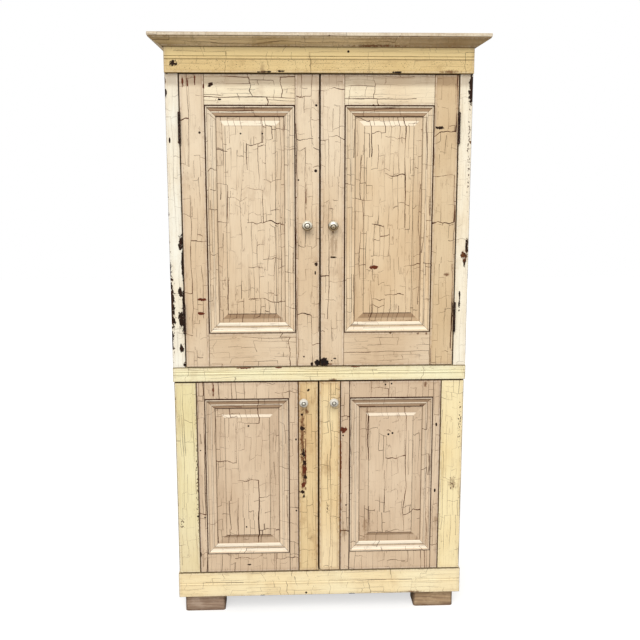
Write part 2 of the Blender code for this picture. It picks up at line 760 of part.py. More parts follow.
def make_pivot(name, side, rail, door_board, rail_edge, door_edge):
    """One pivot pin, driven into a rail and turning in the end of a door's board."""
    axis = pivot_axis(side)
    upward = 1 if rail_edge > door_edge else -1
    rail_end = rail_edge + upward * PIVOT_BITE
    door_end = door_edge - upward * PIVOT_BITE
    shape = bmesh.new()
    add_rod(shape, PIVOT_RADIUS, *sorted((rail_end, door_end)), *axis)
    finish_piece(name, shape, DARK_IRON, smooth=True)
    for piece, end, mouth, clearance in ((rail, rail_end + upward * JOINT_GAP, rail_edge, JOINT_GAP),
                                         (door_board, door_end - upward * JOINT_GAP, door_edge,
                                          PIVOT_CLEARANCE)):
        bore = bmesh.new()
        beyond = mouth + math.copysign(OVERRUN, mouth - end)
        add_rod(bore, PIVOT_RADIUS + clearance, *sorted((end, beyond)), *axis)
        combine(piece, make_cutter(f"{name}_{piece.name}_bore", bore, piece.parent), "DIFFERENCE")


# Knobs

METAL_KNOB_SHARES = (
    (0, 1.00), (0.22, 0.99), (0.30, 0.95), (0.34, 0.90), (0.62, 0.91), (0.88, 0.83), (1.00, 0.69),
    (0.94, 0.56), (0.66, 0.46), (0.38, 0.38), (0.34, 0.22), (0.42, 0.12), (0.62, 0.06),
)
METAL_FOOT_SHARE = 0.62
CHINA_KNOB_SHARES = (
    (0, 1.00), (0.30, 0.98), (0.62, 0.91), (0.88, 0.77), (1.00, 0.58), (0.92, 0.41),
    (0.66, 0.28), (0.52, 0.18), (0.56, 0.08),
)
CHINA_FOOT_SHARE = 0.56


def knob_profile(shares, foot_share, radius, reach, tilt=0):
    """Profile of a knob as (radius, height off the door) points, from its crown to its shank's end.

    A drooping knob's foot stands off enough for its low edge to clear the door.
    """
    lift = 2 * JOINT_GAP + radius * foot_share * math.tan(tilt)
    crown = [(radius * across, reach * out) for across, out in shares]
    foot = [(radius * foot_share, lift), (KNOB_SHANK_RADIUS, lift)]
    return crown + foot + [(KNOB_SHANK_RADIUS, -KNOB_SHANK_DEPTH), (0, -KNOB_SHANK_DEPTH)]


def make_knob(name, profile, spot, tilt, finish, parent, seat):
    """One turned knob with its shank in a bored seat.

    Args:
        profile: points of the turned profile.
        spot: where the knob's axis meets the door's face.
        tilt: how far the knob droops.
        seat: the piece that the shank goes into.
    """
    mesh = bpy.data.meshes.new(name)
    points = [(radius, 0, height) for radius, height in profile]
    mesh.from_pydata(points, [(start, start + 1) for start in range(len(points) - 1)], [])
    mesh.materials.append(finish.material())
    knob = bpy.data.objects.new(name, mesh)
    parts.objects.link(knob)
    turned = knob.modifiers.new("turned", "SCREW")
    turned.steps = turned.render_steps = KNOB_STEPS
    turned.use_merge_vertices = True
    turned.merge_threshold = WELD_DISTANCE
    turned.use_smooth_shade = True
    knob.parent = parent
    knob.location = Vector(spot) - parent.location
    knob.rotation_euler = (math.radians(90) + tilt, 0, 0)
    depth = KNOB_SHANK_DEPTH + JOINT_GAP
    radius = KNOB_SHANK_RADIUS + JOINT_GAP
    bore = bmesh.new()
    bmesh.ops.create_cone(bore, cap_ends=True, segments=KNOB_STEPS, radius1=radius, radius2=radius,
                          depth=depth + OVERRUN, matrix=Matrix.Translation((0, 0, (OVERRUN - depth) / 2)))
    cutter = make_cutter(name + "_bore", bore, parent)
    cutter.location = knob.location
    cutter.rotation_euler = knob.rotation_euler
    combine(seat, cutter, "DIFFERENCE")


# Doors

def door_axis(name, axis, height):
    """Empty on a door's hinge axis that carries the door's pieces."""
    pivot = bpy.data.objects.new(name, None)
    pivot.location = (*axis, height)
    parts.objects.link(pivot)
    return pivot


def make_upper_door(label, side):
    """One upper door, hung on butt hinges between the corner stile and the middle."""
    name = "upper_" + label
    low = upper_opening_low + UPPER_DOOR_BOTTOM_GAP
    high = frieze_low - UPPER_DOOR_TOP_GAP
    pivot = door_axis(name + "_door_axis", upper_hinge_axis(side), low)
    left, right = spread(side, MEETING_GAP / 2, stile_inner - hinge_gap)
    frame = Frame(name, pivot, left, right, low, high, face_plane, UPPER_DOOR_THICKNESS,
                  UPPER_STILE_WIDTH, UPPER_STILE_WIDTH, UPPER_TOP_RAIL_HEIGHT,
                  UPPER_BOTTOM_RAIL_HEIGHT, BEIGE_PAINT)
    frame.make_separate([name + "_hinge_stile", name + "_meeting_stile"][::-side])
    frame.make_panel()
    frame.make_moulding()
    for place, height in hinge_heights():
        make_leaf(f"{name}_{place}_case_leaf", side, height, 0)
        make_leaf(f"{name}_{place}_door_leaf", side, height, 1, pivot)
    droop = METAL_KNOB_DROOP if side > 0 else 0
    profile = knob_profile(METAL_KNOB_SHARES, METAL_FOOT_SHARE, METAL_KNOB_RADIUS, METAL_KNOB_REACH,
                           droop)
    spot = (side * (MEETING_GAP / 2 + UPPER_KNOB_SETBACK), face_plane,
            low + (high - low) * UPPER_KNOB_SHARE)
    make_knob(name + "_knob", profile, spot, droop, AGED_NICKEL, pivot,
              bpy.data.objects[name + "_meeting_stile"])


def make_lower_board(name, side, inner, outer, low, high, pivot, worn):
    """One upright board of a lower door, its lower inner corner worn round if asked."""
    first, last = spread(side, inner, outer)
    shape = bmesh.new()
    add_block(shape, (first, lower_door_face, low), (last, lower_door_back, high), 0)
    if worn:
        corner = first if side > 0 else last
        round_edge(shape, lambda point: abs(point.x - corner) < WELD_DISTANCE
                   and point.z < low + WELD_DISTANCE, WORN_CORNER_RADIUS)
    long_edges = [edge for edge in shape.edges
                  if abs(edge.verts[0].co.z - edge.verts[1].co.z) > (high - low) / 2]
    bmesh.ops.bevel(shape, geom=long_edges, offset=BOARD_EASE, segments=1, profile=0.5, affect="EDGES")
    return finish_piece(name, shape, YELLOW_PAINT, pivot)


def make_lower_door(label, side, outer_width, inner_width):
    """One lower door: outer board, framed panel and inner board, glued edge to edge.

    The frame fills what the two boards leave of the door's width.
    """
    name = "lower_" + label
    low = lower_opening_low + LOWER_DOOR_BOTTOM_GAP
    high = waist_rail_low - LOWER_DOOR_TOP_GAP
    pivot = door_axis(name + "_door_axis", pivot_axis(side), low)
    outer_edge = half_width - LOWER_DOOR_EDGE_INSET
    meeting_edge = side * LOWER_MEETING_OFFSET + MEETING_GAP / 2
    frame_outer = outer_edge - outer_width - JOINT_GAP
    frame_inner = meeting_edge + inner_width + JOINT_GAP

    outer = make_lower_board(name + "_outer_board", side, frame_outer + JOINT_GAP, outer_edge,
                             low, high, pivot, False)
    inner = make_lower_board(name + "_inner_board", side, meeting_edge, frame_inner - JOINT_GAP,
                             low, high, pivot, side > 0)
    left, right = spread(side, frame_inner, frame_outer)
    stile_widths = [LOWER_OUTER_STILE_WIDTH, LOWER_INNER_STILE_WIDTH][::-side]
    frame = Frame(name, pivot, left, right, low, high, lower_door_face, LOWER_DOOR_THICKNESS,
                  *stile_widths, LOWER_TOP_RAIL_HEIGHT, LOWER_BOTTOM_RAIL_HEIGHT,
                  GREYED_BEIGE_PAINT)
    frame.make_glued()
    frame.make_panel()
    frame.make_moulding()
    make_pivot(name + "_top_pivot", side, bpy.data.objects["waist_rail"], outer, waist_rail_low, high)
    make_pivot(name + "_bottom_pivot", side, bpy.data.objects["base_rail"], outer,
               lower_opening_low, low)
    profile = knob_profile(CHINA_KNOB_SHARES, CHINA_FOOT_SHARE, CHINA_KNOB_RADIUS, CHINA_KNOB_REACH)
    spot = (side * (meeting_edge + LOWER_KNOB_SETBACK), lower_door_face, high - LOWER_KNOB_DROP)
    make_knob(name + "_knob", profile, spot, 0, WHITE_CHINA, pivot, inner)


def make_case():
    """Everything that stands still."""
    make_side("left_side", -1)
    make_side("right_side", 1)
    make_levels()
    make_back()
    make_front_boards()
    make_cornice()
    for name, side, front in (("front_left_foot", -1, True), ("front_right_foot", 1, True),
                              ("back_left_foot", -1, False), ("back_right_foot", 1, False)):
        make_foot(name, side, front)


make_case()
make_upper_door("left", -1)
make_upper_door("right", 1)
make_lower_door("left", -1, LEFT_OUTER_BOARD_WIDTH, LEFT_INNER_BOARD_WIDTH)
make_lower_door("right", 1, RIGHT_OUTER_BOARD_WIDTH, RIGHT_INNER_BOARD_WIDTH)
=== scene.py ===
"""Looks of a tall painted country cupboard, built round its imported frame.

Metres, +Z up, the doors face -Y and the left doors are at -X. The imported
nodes keep their shapes and get old, cracked paint, bare wood and metal. Knobs,
raised panels and panel mouldings are modelled anew, a little finer. Screws,
nails and the paint's thick edge beside the upper doors are added.
"""
from __future__ import annotations

import logging
import math
from dataclasses import dataclass, replace
from enum import Enum
from typing import Any, Callable, ClassVar, Sequence, Union

import bmesh
import bpy
from mathutils import Matrix, Vector


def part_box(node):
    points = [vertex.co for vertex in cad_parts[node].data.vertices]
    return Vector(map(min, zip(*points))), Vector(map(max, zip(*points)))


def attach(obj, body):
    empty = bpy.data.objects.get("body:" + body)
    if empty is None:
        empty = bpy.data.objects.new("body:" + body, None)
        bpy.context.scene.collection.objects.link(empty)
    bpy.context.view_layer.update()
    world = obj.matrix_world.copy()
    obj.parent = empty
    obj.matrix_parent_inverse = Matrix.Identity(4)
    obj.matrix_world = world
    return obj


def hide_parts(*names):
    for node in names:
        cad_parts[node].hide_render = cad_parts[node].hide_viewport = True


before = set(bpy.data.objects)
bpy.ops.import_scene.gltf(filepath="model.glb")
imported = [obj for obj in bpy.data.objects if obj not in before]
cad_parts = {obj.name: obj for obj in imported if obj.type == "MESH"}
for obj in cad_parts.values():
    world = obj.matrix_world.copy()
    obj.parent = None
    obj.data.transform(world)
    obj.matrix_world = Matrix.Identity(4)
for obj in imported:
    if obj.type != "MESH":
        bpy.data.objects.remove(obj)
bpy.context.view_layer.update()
LOG = logging.getLogger("cupboard")

Colour = tuple[float, float, float]
Point = tuple[float, float, float]
Band = tuple[float, float, float, float, float]
Number = Union["Value", float]


def tone(red: float, green: float, blue: float) -> Colour:
    """Turns a screen colour into the linear one that shaders take.

    Args:
        red: screen red, 0 to 255.
        green: screen green, 0 to 255.
        blue: screen blue, 0 to 255.

    Returns:
        The linear colour.
    """
    shares = [part / 255 for part in (red, green, blue)]
    red_share, green_share, blue_share = [
        share / 12.92 if share <= 0.04045 else ((share + 0.055) / 1.055) ** 2.4 for share in shares
    ]
    return red_share, green_share, blue_share


# Shader sums


class Value:
    """One number of a shader, which takes part in Python sums."""

    def __init__(self, graph: "Graph", socket: bpy.types.NodeSocket) -> None:
        """Keeps the graph and the socket that gives the number."""
        self.graph = graph
        self.socket = socket

    def __add__(self, other: Number) -> "Value":
        """Adds."""
        return self.graph.maths("ADD", self, other)

    __radd__ = __add__

    def __sub__(self, other: Number) -> "Value":
        """Takes the other away."""
        return self.graph.maths("SUBTRACT", self, other)

    def __rsub__(self, other: Number) -> "Value":
        """Takes this away from the other."""
        return self.graph.maths("SUBTRACT", other, self)

    def __mul__(self, other: Number) -> "Value":
        """Multiplies."""
        return self.graph.maths("MULTIPLY", self, other)

    __rmul__ = __mul__

    def __abs__(self) -> "Value":
        """The size without its sign."""
        return self.graph.maths("ABSOLUTE", self)

    def floor(self) -> "Value":
        """The whole number below."""
        return self.graph.maths("FLOOR", self)

    def fraction(self) -> "Value":
        """What is left above the whole number below."""
        return self.graph.maths("FRACT", self)

    def root(self) -> "Value":
        """The square root."""
        return self.graph.maths("SQRT", self)

    def least(self, other: Number) -> "Value":
        """The smaller of the two."""
        return self.graph.maths("MINIMUM", self, other)

    def most(self, other: Number) -> "Value":
        """The larger of the two."""
        return self.graph.maths("MAXIMUM", self, other)

    def rise(self, low: Number, high: Number) -> "Value":
        """A smooth step.

        Args:
            low: where the step starts, at 0.
            high: where the step ends, at 1.

        Returns:
            The step's value, from 0 to 1.
        """
        made = self.graph.node(
            "ShaderNodeMapRange",
            {"interpolation_type": "SMOOTHSTEP", "clamp": True},
            {"Value": self, "From Min": low, "From Max": high},
        )
        return Value(self.graph, made.outputs["Result"])

    def fall(self, low: Number, high: Number) -> "Value":
        """A smooth step down, from 1 at low to 0 at high."""
        return 1 - self.rise(low, high)


@dataclass
class Place:
    """The three coordinates of a point on a piece."""

    x: Value
    y: Value
    z: Value


class Graph:
    """The nodes of one material, or of a sum that materials share."""

    def __init__(self, name: str, group: bpy.types.NodeTree | None = None) -> None:
        """Makes an empty material of that name, or opens a group.

        Args:
            name: the material's name.
            group: the group to fill, where there is one.
        """
        if group is not None:
            self.tree = group
            return
        self.material = bpy.data.materials.new(name)
        self.material.use_nodes = True
        self.tree = self.material.node_tree
        self.tree.nodes.clear()

    def shared(self, name: str, values: Sequence[Any], build: Callable[["Graph", list[Any]], list[Any]]) -> list[Any]:
        """Uses a sum that several materials share, and makes it when it is first used.

        Args:
            name: the sum's name.
            values: its inputs: numbers, Values or colours.
            build: makes the sum's nodes from its inputs, and gives its Values or colours.

        Returns:
            A Value or a colour's socket for each result.
        """
        group = bpy.data.node_groups.get(name)
        if group is None:
            group = bpy.data.node_groups.new(name, "ShaderNodeTree")
            for number, value in enumerate(values):
                kind = "NodeSocketColor" if isinstance(value, tuple) else "NodeSocketFloat"
                group.interface.new_socket(name=f"in {number}", in_out="INPUT", socket_type=kind)
            inner = Graph(name, group)
            entry = inner.node("NodeGroupInput", {}, {})
            given = [inner.wrap(output) for output in list(entry.outputs)[:len(values)]]
            results = build(inner, given)
            for number, result in enumerate(results):
                kind = "NodeSocketFloat" if isinstance(result, Value) else "NodeSocketColor"
                group.interface.new_socket(name=f"out {number}", in_out="OUTPUT", socket_type=kind)
            inner.node("NodeGroupOutput", {}, dict(enumerate(results)))
        made = self.node("ShaderNodeGroup", {"node_tree": group}, dict(enumerate(values)))
        return [self.wrap(output) for output in made.outputs]

    def wrap(self, socket: bpy.types.NodeSocket) -> Any:
        """Makes a Value of a number's socket, and leaves a colour's."""
        return Value(self, socket) if socket.type == "VALUE" else socket

    def plug(self, socket: bpy.types.NodeSocket, value: Any) -> None:
        """Sets a socket, or links it.

        Args:
            socket: the input to fill.
            value: a number, a colour, a vector, a Value or an output socket.
        """
        if isinstance(value, Value):
            value = value.socket
        if isinstance(value, bpy.types.NodeSocket):
            self.tree.links.new(value, socket)
        elif isinstance(value, tuple) and socket.type == "RGBA":
            socket.default_value = (*value, 1.0)
        else:
            socket.default_value = value

    def node(self, kind: str, settings: dict[str, Any], inputs: dict[Any, Any]) -> bpy.types.Node:
        """Adds any node.

        Args:
            kind: the node's type.
            settings: its settings, which are set first.
            inputs: values or links for its sockets, by name or number.

        Returns:
            The node.
        """
        made = self.tree.nodes.new(kind)
        for name, value in settings.items():
            if getattr(made, name) != value:
                setattr(made, name, value)
        for name, value in inputs.items():
            self.plug(made.inputs[name], value)
        return made

    def maths(self, operation: str, *values: Number) -> Value:
        """Adds one Math node over one or two numbers."""
        made = self.node("ShaderNodeMath", {"operation": operation}, dict(enumerate(values)))
        return Value(self, made.outputs[0])

    def place(self) -> Place:
        """The point's own coordinates, in metres."""
        parts = self.node("ShaderNodeSeparateXYZ", {}, {0: self.node("ShaderNodeTexCoord", {}, {}).outputs["Object"]})
        return Place(*(Value(self, output) for output in parts.outputs))

    def vector(self, x: Number, y: Number, z: Number) -> bpy.types.NodeSocket:
        """Joins three numbers into a vector."""
        return self.node("ShaderNodeCombineXYZ", {}, {0: x, 1: y, 2: z}).outputs[0]

    def noise(self, x: Number, y: Number, z: Number, detail: float = 2.0, rough: float = 0.5) -> Value:
        """Cloudy noise around one half.

        Args:
            x: first coordinate, in units of the noise's size.
            y: second coordinate.
            z: third coordinate, often just a seed.
            detail: how many finer layers it has.
            rough: how strong the finer layers are.

        Returns:
            The noise.
        """
        made = self.node(
            "ShaderNodeTexNoise",
            {"noise_dimensions": "3D"},
            {"Vector": self.vector(x, y, z), "Scale": 1.0, "Detail": detail, "Roughness": rough},
        )
        return Value(self, made.outputs[0])

    def over(self, place: Place, fineness: Point, detail: float, rough: float, *shifts: float) -> Value:
        """Noise all over a piece.

        Args:
            place: the point on the piece.
            fineness: how fine the noise is along X, along Z and along Y.
            detail: how many finer layers it has.
            rough: how strong the finer layers are.
            shifts: what it is moved by, such as a seed.

        Returns:
            The noise, around one half.
        """
        wide, tall, deep = fineness
        behind_it = place.y * deep
        for shift in shifts:
            behind_it = behind_it + shift
        return self.noise(place.x * wide, place.z * tall, behind_it, detail, rough)

    def wave(self, along: Number) -> Value:
        """Noise along one line, around one half."""
        made = self.node("ShaderNodeTexNoise", {"noise_dimensions": "1D"}, {"W": along, "Scale": 1.0, "Detail": 0.0})
        return Value(self, made.outputs[0])

    def dice(self, first: Number, second: Number) -> Value:
        """A random number for each pair of whole numbers."""
        pair = {"Vector": self.vector(first, second, 0.0)}
        return Value(self, self.node("ShaderNodeTexWhiteNoise", {"noise_dimensions": "2D"}, pair).outputs["Value"])

    def mix(self, share: Number, first: Any, second: Any) -> bpy.types.NodeSocket:
        """Mixes two colours, with that share of the second."""
        made = self.node("ShaderNodeMix", {"data_type": "RGBA"}, {0: share, 6: first, 7: second})
        return made.outputs[2]

    def bump(self, height: Value, depth: float, strength: float) -> bpy.types.NodeSocket:
        """Turns a height from 0 to 1, which stands for a depth in metres, into a bumpy normal."""
        return self.node("ShaderNodeBump", {}, {"Strength": strength, "Distance": depth, "Height": height}).outputs[0]

    def surface(self, **inputs: Any) -> bpy.types.Material:
        """Closes the material with one principled surface.

        Args:
            inputs: its sockets by name, with spaces written as underscores.

        Returns:
            The finished material.
        """
        named = {name.replace("_", " "): value for name, value in inputs.items()}
        shader = self.node("ShaderNodeBsdfPrincipled", {}, named)
        self.node("ShaderNodeOutputMaterial", {}, {"Surface": shader.outputs[0]})
        return self.material


# Finishes


class Grain(Enum):
    """The way that a board's grain runs."""

    UPRIGHT = "upright"
    LEVEL = "level"
    DEEP = "deep"

    def lines(self, place: Place) -> tuple[Value, Value]:
        """Lays lines along this grain, on any face of a board.

        Args:
            place: the point on the board.

        Returns:
            The coordinates across and along the grain.
        """
        if self is Grain.UPRIGHT:
            return place.x + place.y, place.z
        if self is Grain.LEVEL:
            return place.z + place.y, place.x
        return place.x + place.z, place.y


class Harm(Enum):
    """What a mark on the paint is."""

    NAIL = "nail hole"
    CHIP = "chip"
    REDDISH = "reddish chip"
    RUST = "rust stain"
    DRIP = "brown drip"
    SOOT = "black wear"
    SPECKS = "brown specks"


@dataclass(frozen=True)
class Mark:
    """One mark on the front of a board: its kind, middle and half sizes."""

    harm: Harm
    x: float
    z: float
    wide: float = 0.0022
    high: float = 0.0022


def marks(rows: dict[Harm, Sequence[tuple[float, ...]]]) -> tuple[Mark, ...]:
    """Marks by kind, each by its middle's X and Z and, unless they are the usual ones, its half sizes, in mm."""
    return tuple(Mark(harm, *(size / 1000 for size in row)) for harm, kind in rows.items() for row in kind)


@dataclass(frozen=True)
class Seam:
    """A dark line on a front, upright at X or level at Z."""

    upright: bool
    at: float
    start: float
    end: float
    width: float = 0.0012
    share: float = 0.9


@dataclass(frozen=True)
class Veil:
    """Another tone over a board, none of it at one height and its whole share at another."""

    none_at: float
    full_at: float
    colour: Colour
    share: float

    def cover(self, place: Place) -> Value:
        """Lays the tone over a board.

        Args:
            place: the point on the board.

        Returns:
            How much of it shows there.
        """
        if self.full_at > self.none_at:
            return place.z.rise(self.none_at, self.full_at) * self.share
        return place.z.fall(self.full_at, self.none_at) * self.share


@dataclass(frozen=True)
class BareSide:
    """Says that a board is bare where its X lies past a value, on that side."""

    past: float
    above: bool

    def cover(self, place: Place) -> Value:
        """Bares that side.

        Args:
            place: the point on the board.

        Returns:
            Its mask.
        """
        if self.above:
            return place.x.rise(self.past - 0.0008, self.past - 0.0004)
        return place.x.fall(self.past + 0.0004, self.past + 0.0008)


DARK_GAP = tone(58, 26, 10)
DARK_CRACK = tone(54, 20, 3)
PALE_CRACK = tone(112, 58, 20)
HARM_TONES = {
    Harm.NAIL: tone(26, 12, 6),
    Harm.CHIP: tone(40, 25, 14),
    Harm.REDDISH: tone(104, 48, 26),
    Harm.RUST: tone(112, 66, 34),
    Harm.DRIP: tone(146, 112, 80),
    Harm.SOOT: tone(20, 14, 14),
    Harm.SPECKS: tone(70, 36, 18),
}
HARM_SHARES = {Harm.RUST: 0.85, Harm.DRIP: 0.5, Harm.SPECKS: 0.9}
HARM_RAGS = {Harm.NAIL: 0.3, Harm.CHIP: 3.2, Harm.REDDISH: 2.4}
SOFT = 0.0005
GAP_EDGE = (0.0002, 0.0014)


@dataclass
class Flakes:
    """One layer of flakes: how far the crack beside and below is, and a number for each flake."""

    side: Value
    end: Value
    chance: Value

    def cracks(self, reach: Value, soft: float, whole: float, closed: float) -> Value:
        """Opens the cracks beside and below some of the flakes.

        Args:
            reach: how wide they are.
            soft: the share of their width that is fully dark.
            whole: the share of the flakes with no crack beside them.
            closed: the share of the flakes with no crack below them.

        Returns:
            Their mask.
        """
        other = (self.chance * 7.3).fraction()
        return (self.side.fall(reach * soft, reach) * self.chance.rise(whole, whole + 0.02)).most(
            self.end.fall(reach * soft, reach) * other.rise(closed, closed + 0.02))


def flakes(graph: Graph, across: Value, along: Value, width: float, length: float, seed: Number) -> Flakes:
    """Lays out files of flakes of uneven width, each broken at its own places.

    Args:
        graph: the material's nodes.
        across: coordinate across the grain.
        along: coordinate along the grain.
        width: usual width of a flake.
        length: usual length of a flake.
        seed: sets the pattern.

    Returns:
        The distances to the flake's right edge and lower end, and its number.
    """
    spread = across * (1 / width)
    spread = spread + graph.wave(spread * 0.6 + seed) * 0.75
    file = spread.floor()
    side = (1 - spread.fraction()) * width
    own = graph.dice(file, seed)
    ladder = along * (1 / length) + own * 7.3
    ladder = ladder + graph.wave(ladder * 0.55 + own * 19.0) * 0.85
    end = ladder.fraction() * length
    return Flakes(side, end, graph.dice(file, ladder.floor() + seed))


def timber_tone(graph: Graph, across: Value, along: Value, light: Colour, dark: Colour, seed: float
                ) -> list[Any]:
    """Uses the shared colour and height of bare softwood."""
    return graph.shared(
        "timber", (across, along, light, dark, seed), lambda inner, given: timber_sum(inner, *given))


def timber_sum(graph: Graph, across: Value, along: Value, light: Any, dark: Any, seed: Value) -> list[Any]:
    """Colour and height of bare softwood with its year rings and pores.

    Args:
        graph: the material's nodes.
        across: coordinate across the grain.
        along: coordinate along the grain.
        light: colour of the early wood.
        dark: colour of the late wood.
        seed: sets the pattern.

    Returns:
        The colour's socket and the rings' height.
    """
    bend = graph.noise(across * 4.0, along * 0.9, seed, 2.0)
    rings = (across * 80.0 + bend * 20.0).fraction()
    rings = rings.rise(0.15, 0.85) * rings.fall(0.86, 1.0)
    pores = graph.noise(across * 420.0, along * 14.0, seed + 4.0, 2.0).rise(0.42, 0.72)
    cloud = graph.noise(across * 6.0, along * 2.0, seed + 8.0, 3.0)
    colour = graph.mix(rings * 0.42, light, dark)
    colour = graph.mix(pores * 0.35, colour, dark)
    colour = graph.mix(cloud.rise(0.4, 0.75) * 0.35, colour, dark)
    return [colour, rings * 0.5 + pores * 0.5]


def board_edge(place: Place, low: Vector, high: Vector) -> Value:
    """Distance from a point on a board's front to its nearest edge.

    Args:
        place: the point.
        low: the board's lowest corner.
        high: the board's highest corner.

    Returns:
        The distance, in metres.
    """
    sides = (place.x - low.x).least(high.x - place.x)
    ends = (place.z - low.z).least(high.z - place.z)
    return sides.least(ends)


def behind(place: Place, high: Vector) -> Value:
    """Where a piece is seen from behind."""
    return place.y.rise(high.y - 0.0009, high.y - SOFT)


def old_wood(graph: Graph, across: Value, along: Value, edge: Value, cloud: Value, seed: float) -> tuple[Any, Any]:
    """The wood under the paint.

    Args:
        graph: the material's nodes.
        across: coordinate across the grain.
        along: coordinate along the grain.
        edge: distance to the board's nearest edge.
        cloud: the board's clouds.
        seed: sets its rings.

    Returns:
        Its colour, and its colour where it has always been bare.
    """
    wood, _ = timber_tone(graph, across, along, tone(158, 124, 90), tone(112, 80, 54), seed)
    worn = (edge.fall(0.0, 0.012) * 0.5).most(cloud.rise(0.4, 0.7) * 0.3)
    return wood, graph.mix(worn, wood, tone(92, 66, 42))


@dataclass(frozen=True)
class Paint:
    """Old brushed oil paint that has cracked along the grain.

    The lengths are metres and the shares run from 0 to 1.
    """

    name: str
    light: Colour
    dark: Colour
    grime: Colour
    flake_width: float = 0.021
    flake_length: float = 0.062
    crack_width: float = 0.0009
    plate_share: float = 1.0
    crack_share: float = 0.75
    grime_share: float = 0.5
    nibble: float = 0.66
    roughness: float = 0.46
    mark_depth: float = 0.0045
    gap_share: float = 0.85
    # How strong the painted shade is on a board's edges behind its face, where they face the gaps.
    edge_share: float = 0.0
    speck_share: float = 0.3
    veils: Sequence[Veil] = ()

    def crack_masks(self, graph: Graph, across: Value, along: Value, seed: Number) -> list[Value]:
        """Draws large plates and, slipped inside each of them, small flakes.

        Args:
            graph: the material's nodes.
            across: coordinate across the grain.
            along: coordinate along the grain.
            seed: sets the pattern.

        Returns:
            The cracks' mask, how dark they are, and a number for each flake.
        """
        sway = graph.noise(across * 13.0, along * 6.0, seed, 1.0) - 0.5
        lean = graph.noise(across * 26.0, along * 14.0, seed + 1.5, 1.0) - 0.5
        shake = graph.noise(across * 120.0, along * 90.0, seed + 3.0, 2.0, 0.6) - 0.5
        bent_across = across + sway * 0.018 + lean * 0.006 + shake * 0.0022
        bent_along = along + lean * 0.034 + sway * 0.02 + shake * 0.0045
        plates = flakes(graph, bent_across, bent_along, self.flake_width * 3.1, self.flake_length * 2.4, seed)
        slipped = bent_across + plates.chance * self.flake_width
        small = flakes(graph, slipped, bent_along, self.flake_width, self.flake_length, seed + 17.0)
        force = graph.noise(across * 16.0, along * 7.0, seed + 40.0, 2.0).rise(0.28, 0.72)
        reach = (force * 1.5 + 0.35) * (self.crack_width * 2.0)
        large = plates.cracks(reach, 0.7, 0.48, 0.46)
        fine = small.cracks(reach * 0.75, 0.6, 0.28, 0.36)
        patch = graph.noise(across * 10.0, along * 5.0, seed + 50.0, 1.0).rise(0.38, 0.5)
        thread = abs(graph.noise(across * 75.0, along * 9.0, seed + 60.0, 2.0, 0.55) - 0.5).fall(0.004, 0.013)
        hair = thread * graph.noise(across * 30.0, along * 17.0, seed + 70.0, 1.0).rise(0.5, 0.6)
        mask = (large * self.plate_share).most(fine * (patch * 0.7 + 0.3) * self.crack_share)
        return [mask.most(hair * 0.45 * self.crack_share), force, small.chance]

    def cracks(self, graph: Graph, across: Value, along: Value, seed: float) -> list[Value]:
        """Uses the cracks that all pieces in this paint share."""
        return graph.shared(
            f"{self.name} cracks", (across, along, seed), lambda inner, given: self.crack_masks(inner, *given))

    def mark_masks(self, graph: Graph, place: Place, spots: Sequence[Mark], rough: Value) -> dict[Harm, Value]:
        """Draws every mark with a ragged edge.

        Args:
            graph: the material's nodes.
            place: the point on the board.
            spots: the marks.
            rough: noise that makes the edges ragged.

        Returns:
            One mask for each kind of mark.
        """
        masks: dict[Harm, Value] = {}
        for mark in spots:
            beside = (place.x - mark.x) * (1 / mark.wide)
            above = (place.z - mark.z) * (1 / mark.high)
            away = (beside * beside + above * above).root() + rough * HARM_RAGS.get(mark.harm, 2.0)
            spot = away.fall(0.2 if mark.harm in HARM_SHARES else 0.88, 1.05)
            if mark.harm is Harm.SPECKS:
                grit = graph.noise(place.x * 210.0, place.z * 130.0, mark.x * 90.0, 2.0, 0.6)
                spot = (grit + spot * 0.17).rise(0.7, 0.74) * spot.rise(0.0, 0.2)
            masks[mark.harm] = masks[mark.harm].most(spot) if mark.harm in masks else spot
        return masks

    def ground(self, graph: Graph, place: Place, seed: float, chance: Value, brushed: Value, blotched: float,
               specked: bool) -> tuple[Value, Value, Any]:
        """The whole paint, before its cracks and marks.

        Args:
            graph: the material's nodes.
            place: the point on the piece.
            seed: sets its clouds.
            chance: a number for each flake.
            brushed: the brush's streaks.
            blotched: how strong its blotches are.
            specked: whether it has fine dark specks.

        Returns:
            Its clouds, its blotches and its colour.
        """
        cloud = graph.over(place, (4.5, 3.0, 3.0), 3.0, 0.5, seed)
        blotch = graph.over(place, (22.0, 14.0, 14.0), 4.0, 0.6, seed, 60.0)
        colour = graph.mix(cloud.rise(0.36, 0.68), self.light, self.dark)
        colour = graph.mix(chance * 0.22, colour, self.dark)
        colour = graph.mix(brushed.rise(0.45, 0.8) * 0.2, colour, self.grime)
        if specked:
            least = 0.708 - 0.06 * self.speck_share
            specks = graph.over(place, (400.0, 400.0, 400.0), 1.0, 0.5).rise(least, least + 0.06)
            colour = graph.mix(specks * self.speck_share, colour, DARK_CRACK)
        # Veils lay other tones by height; several of them are painted light and shade.
        colour = graph.mix(blotch.rise(0.52, 0.8) * self.grime_share * blotched, colour, self.grime)
        for veil in self.veils:
            colour = graph.mix(veil.cover(place), colour, veil.colour)
        return cloud, blotch, colour

    def close(self, graph: Graph, colour: Any, wear: Value, height: Value, blotch: Value) -> bpy.types.Material:
        """Closes a painted material.

        Args:
            graph: the material's nodes.
            colour: its colour.
            wear: where the paint is gone.
            height: its height.
            blotch: its blotches.

        Returns:
            The material.
        """
        return graph.surface(
            Base_Color=colour,
            Specular_IOR_Level=0.22,
            Roughness=wear * 0.35 + blotch * 0.12 + (self.roughness - 0.06),
            Normal=graph.bump(height, 0.0009, 0.8),
        )

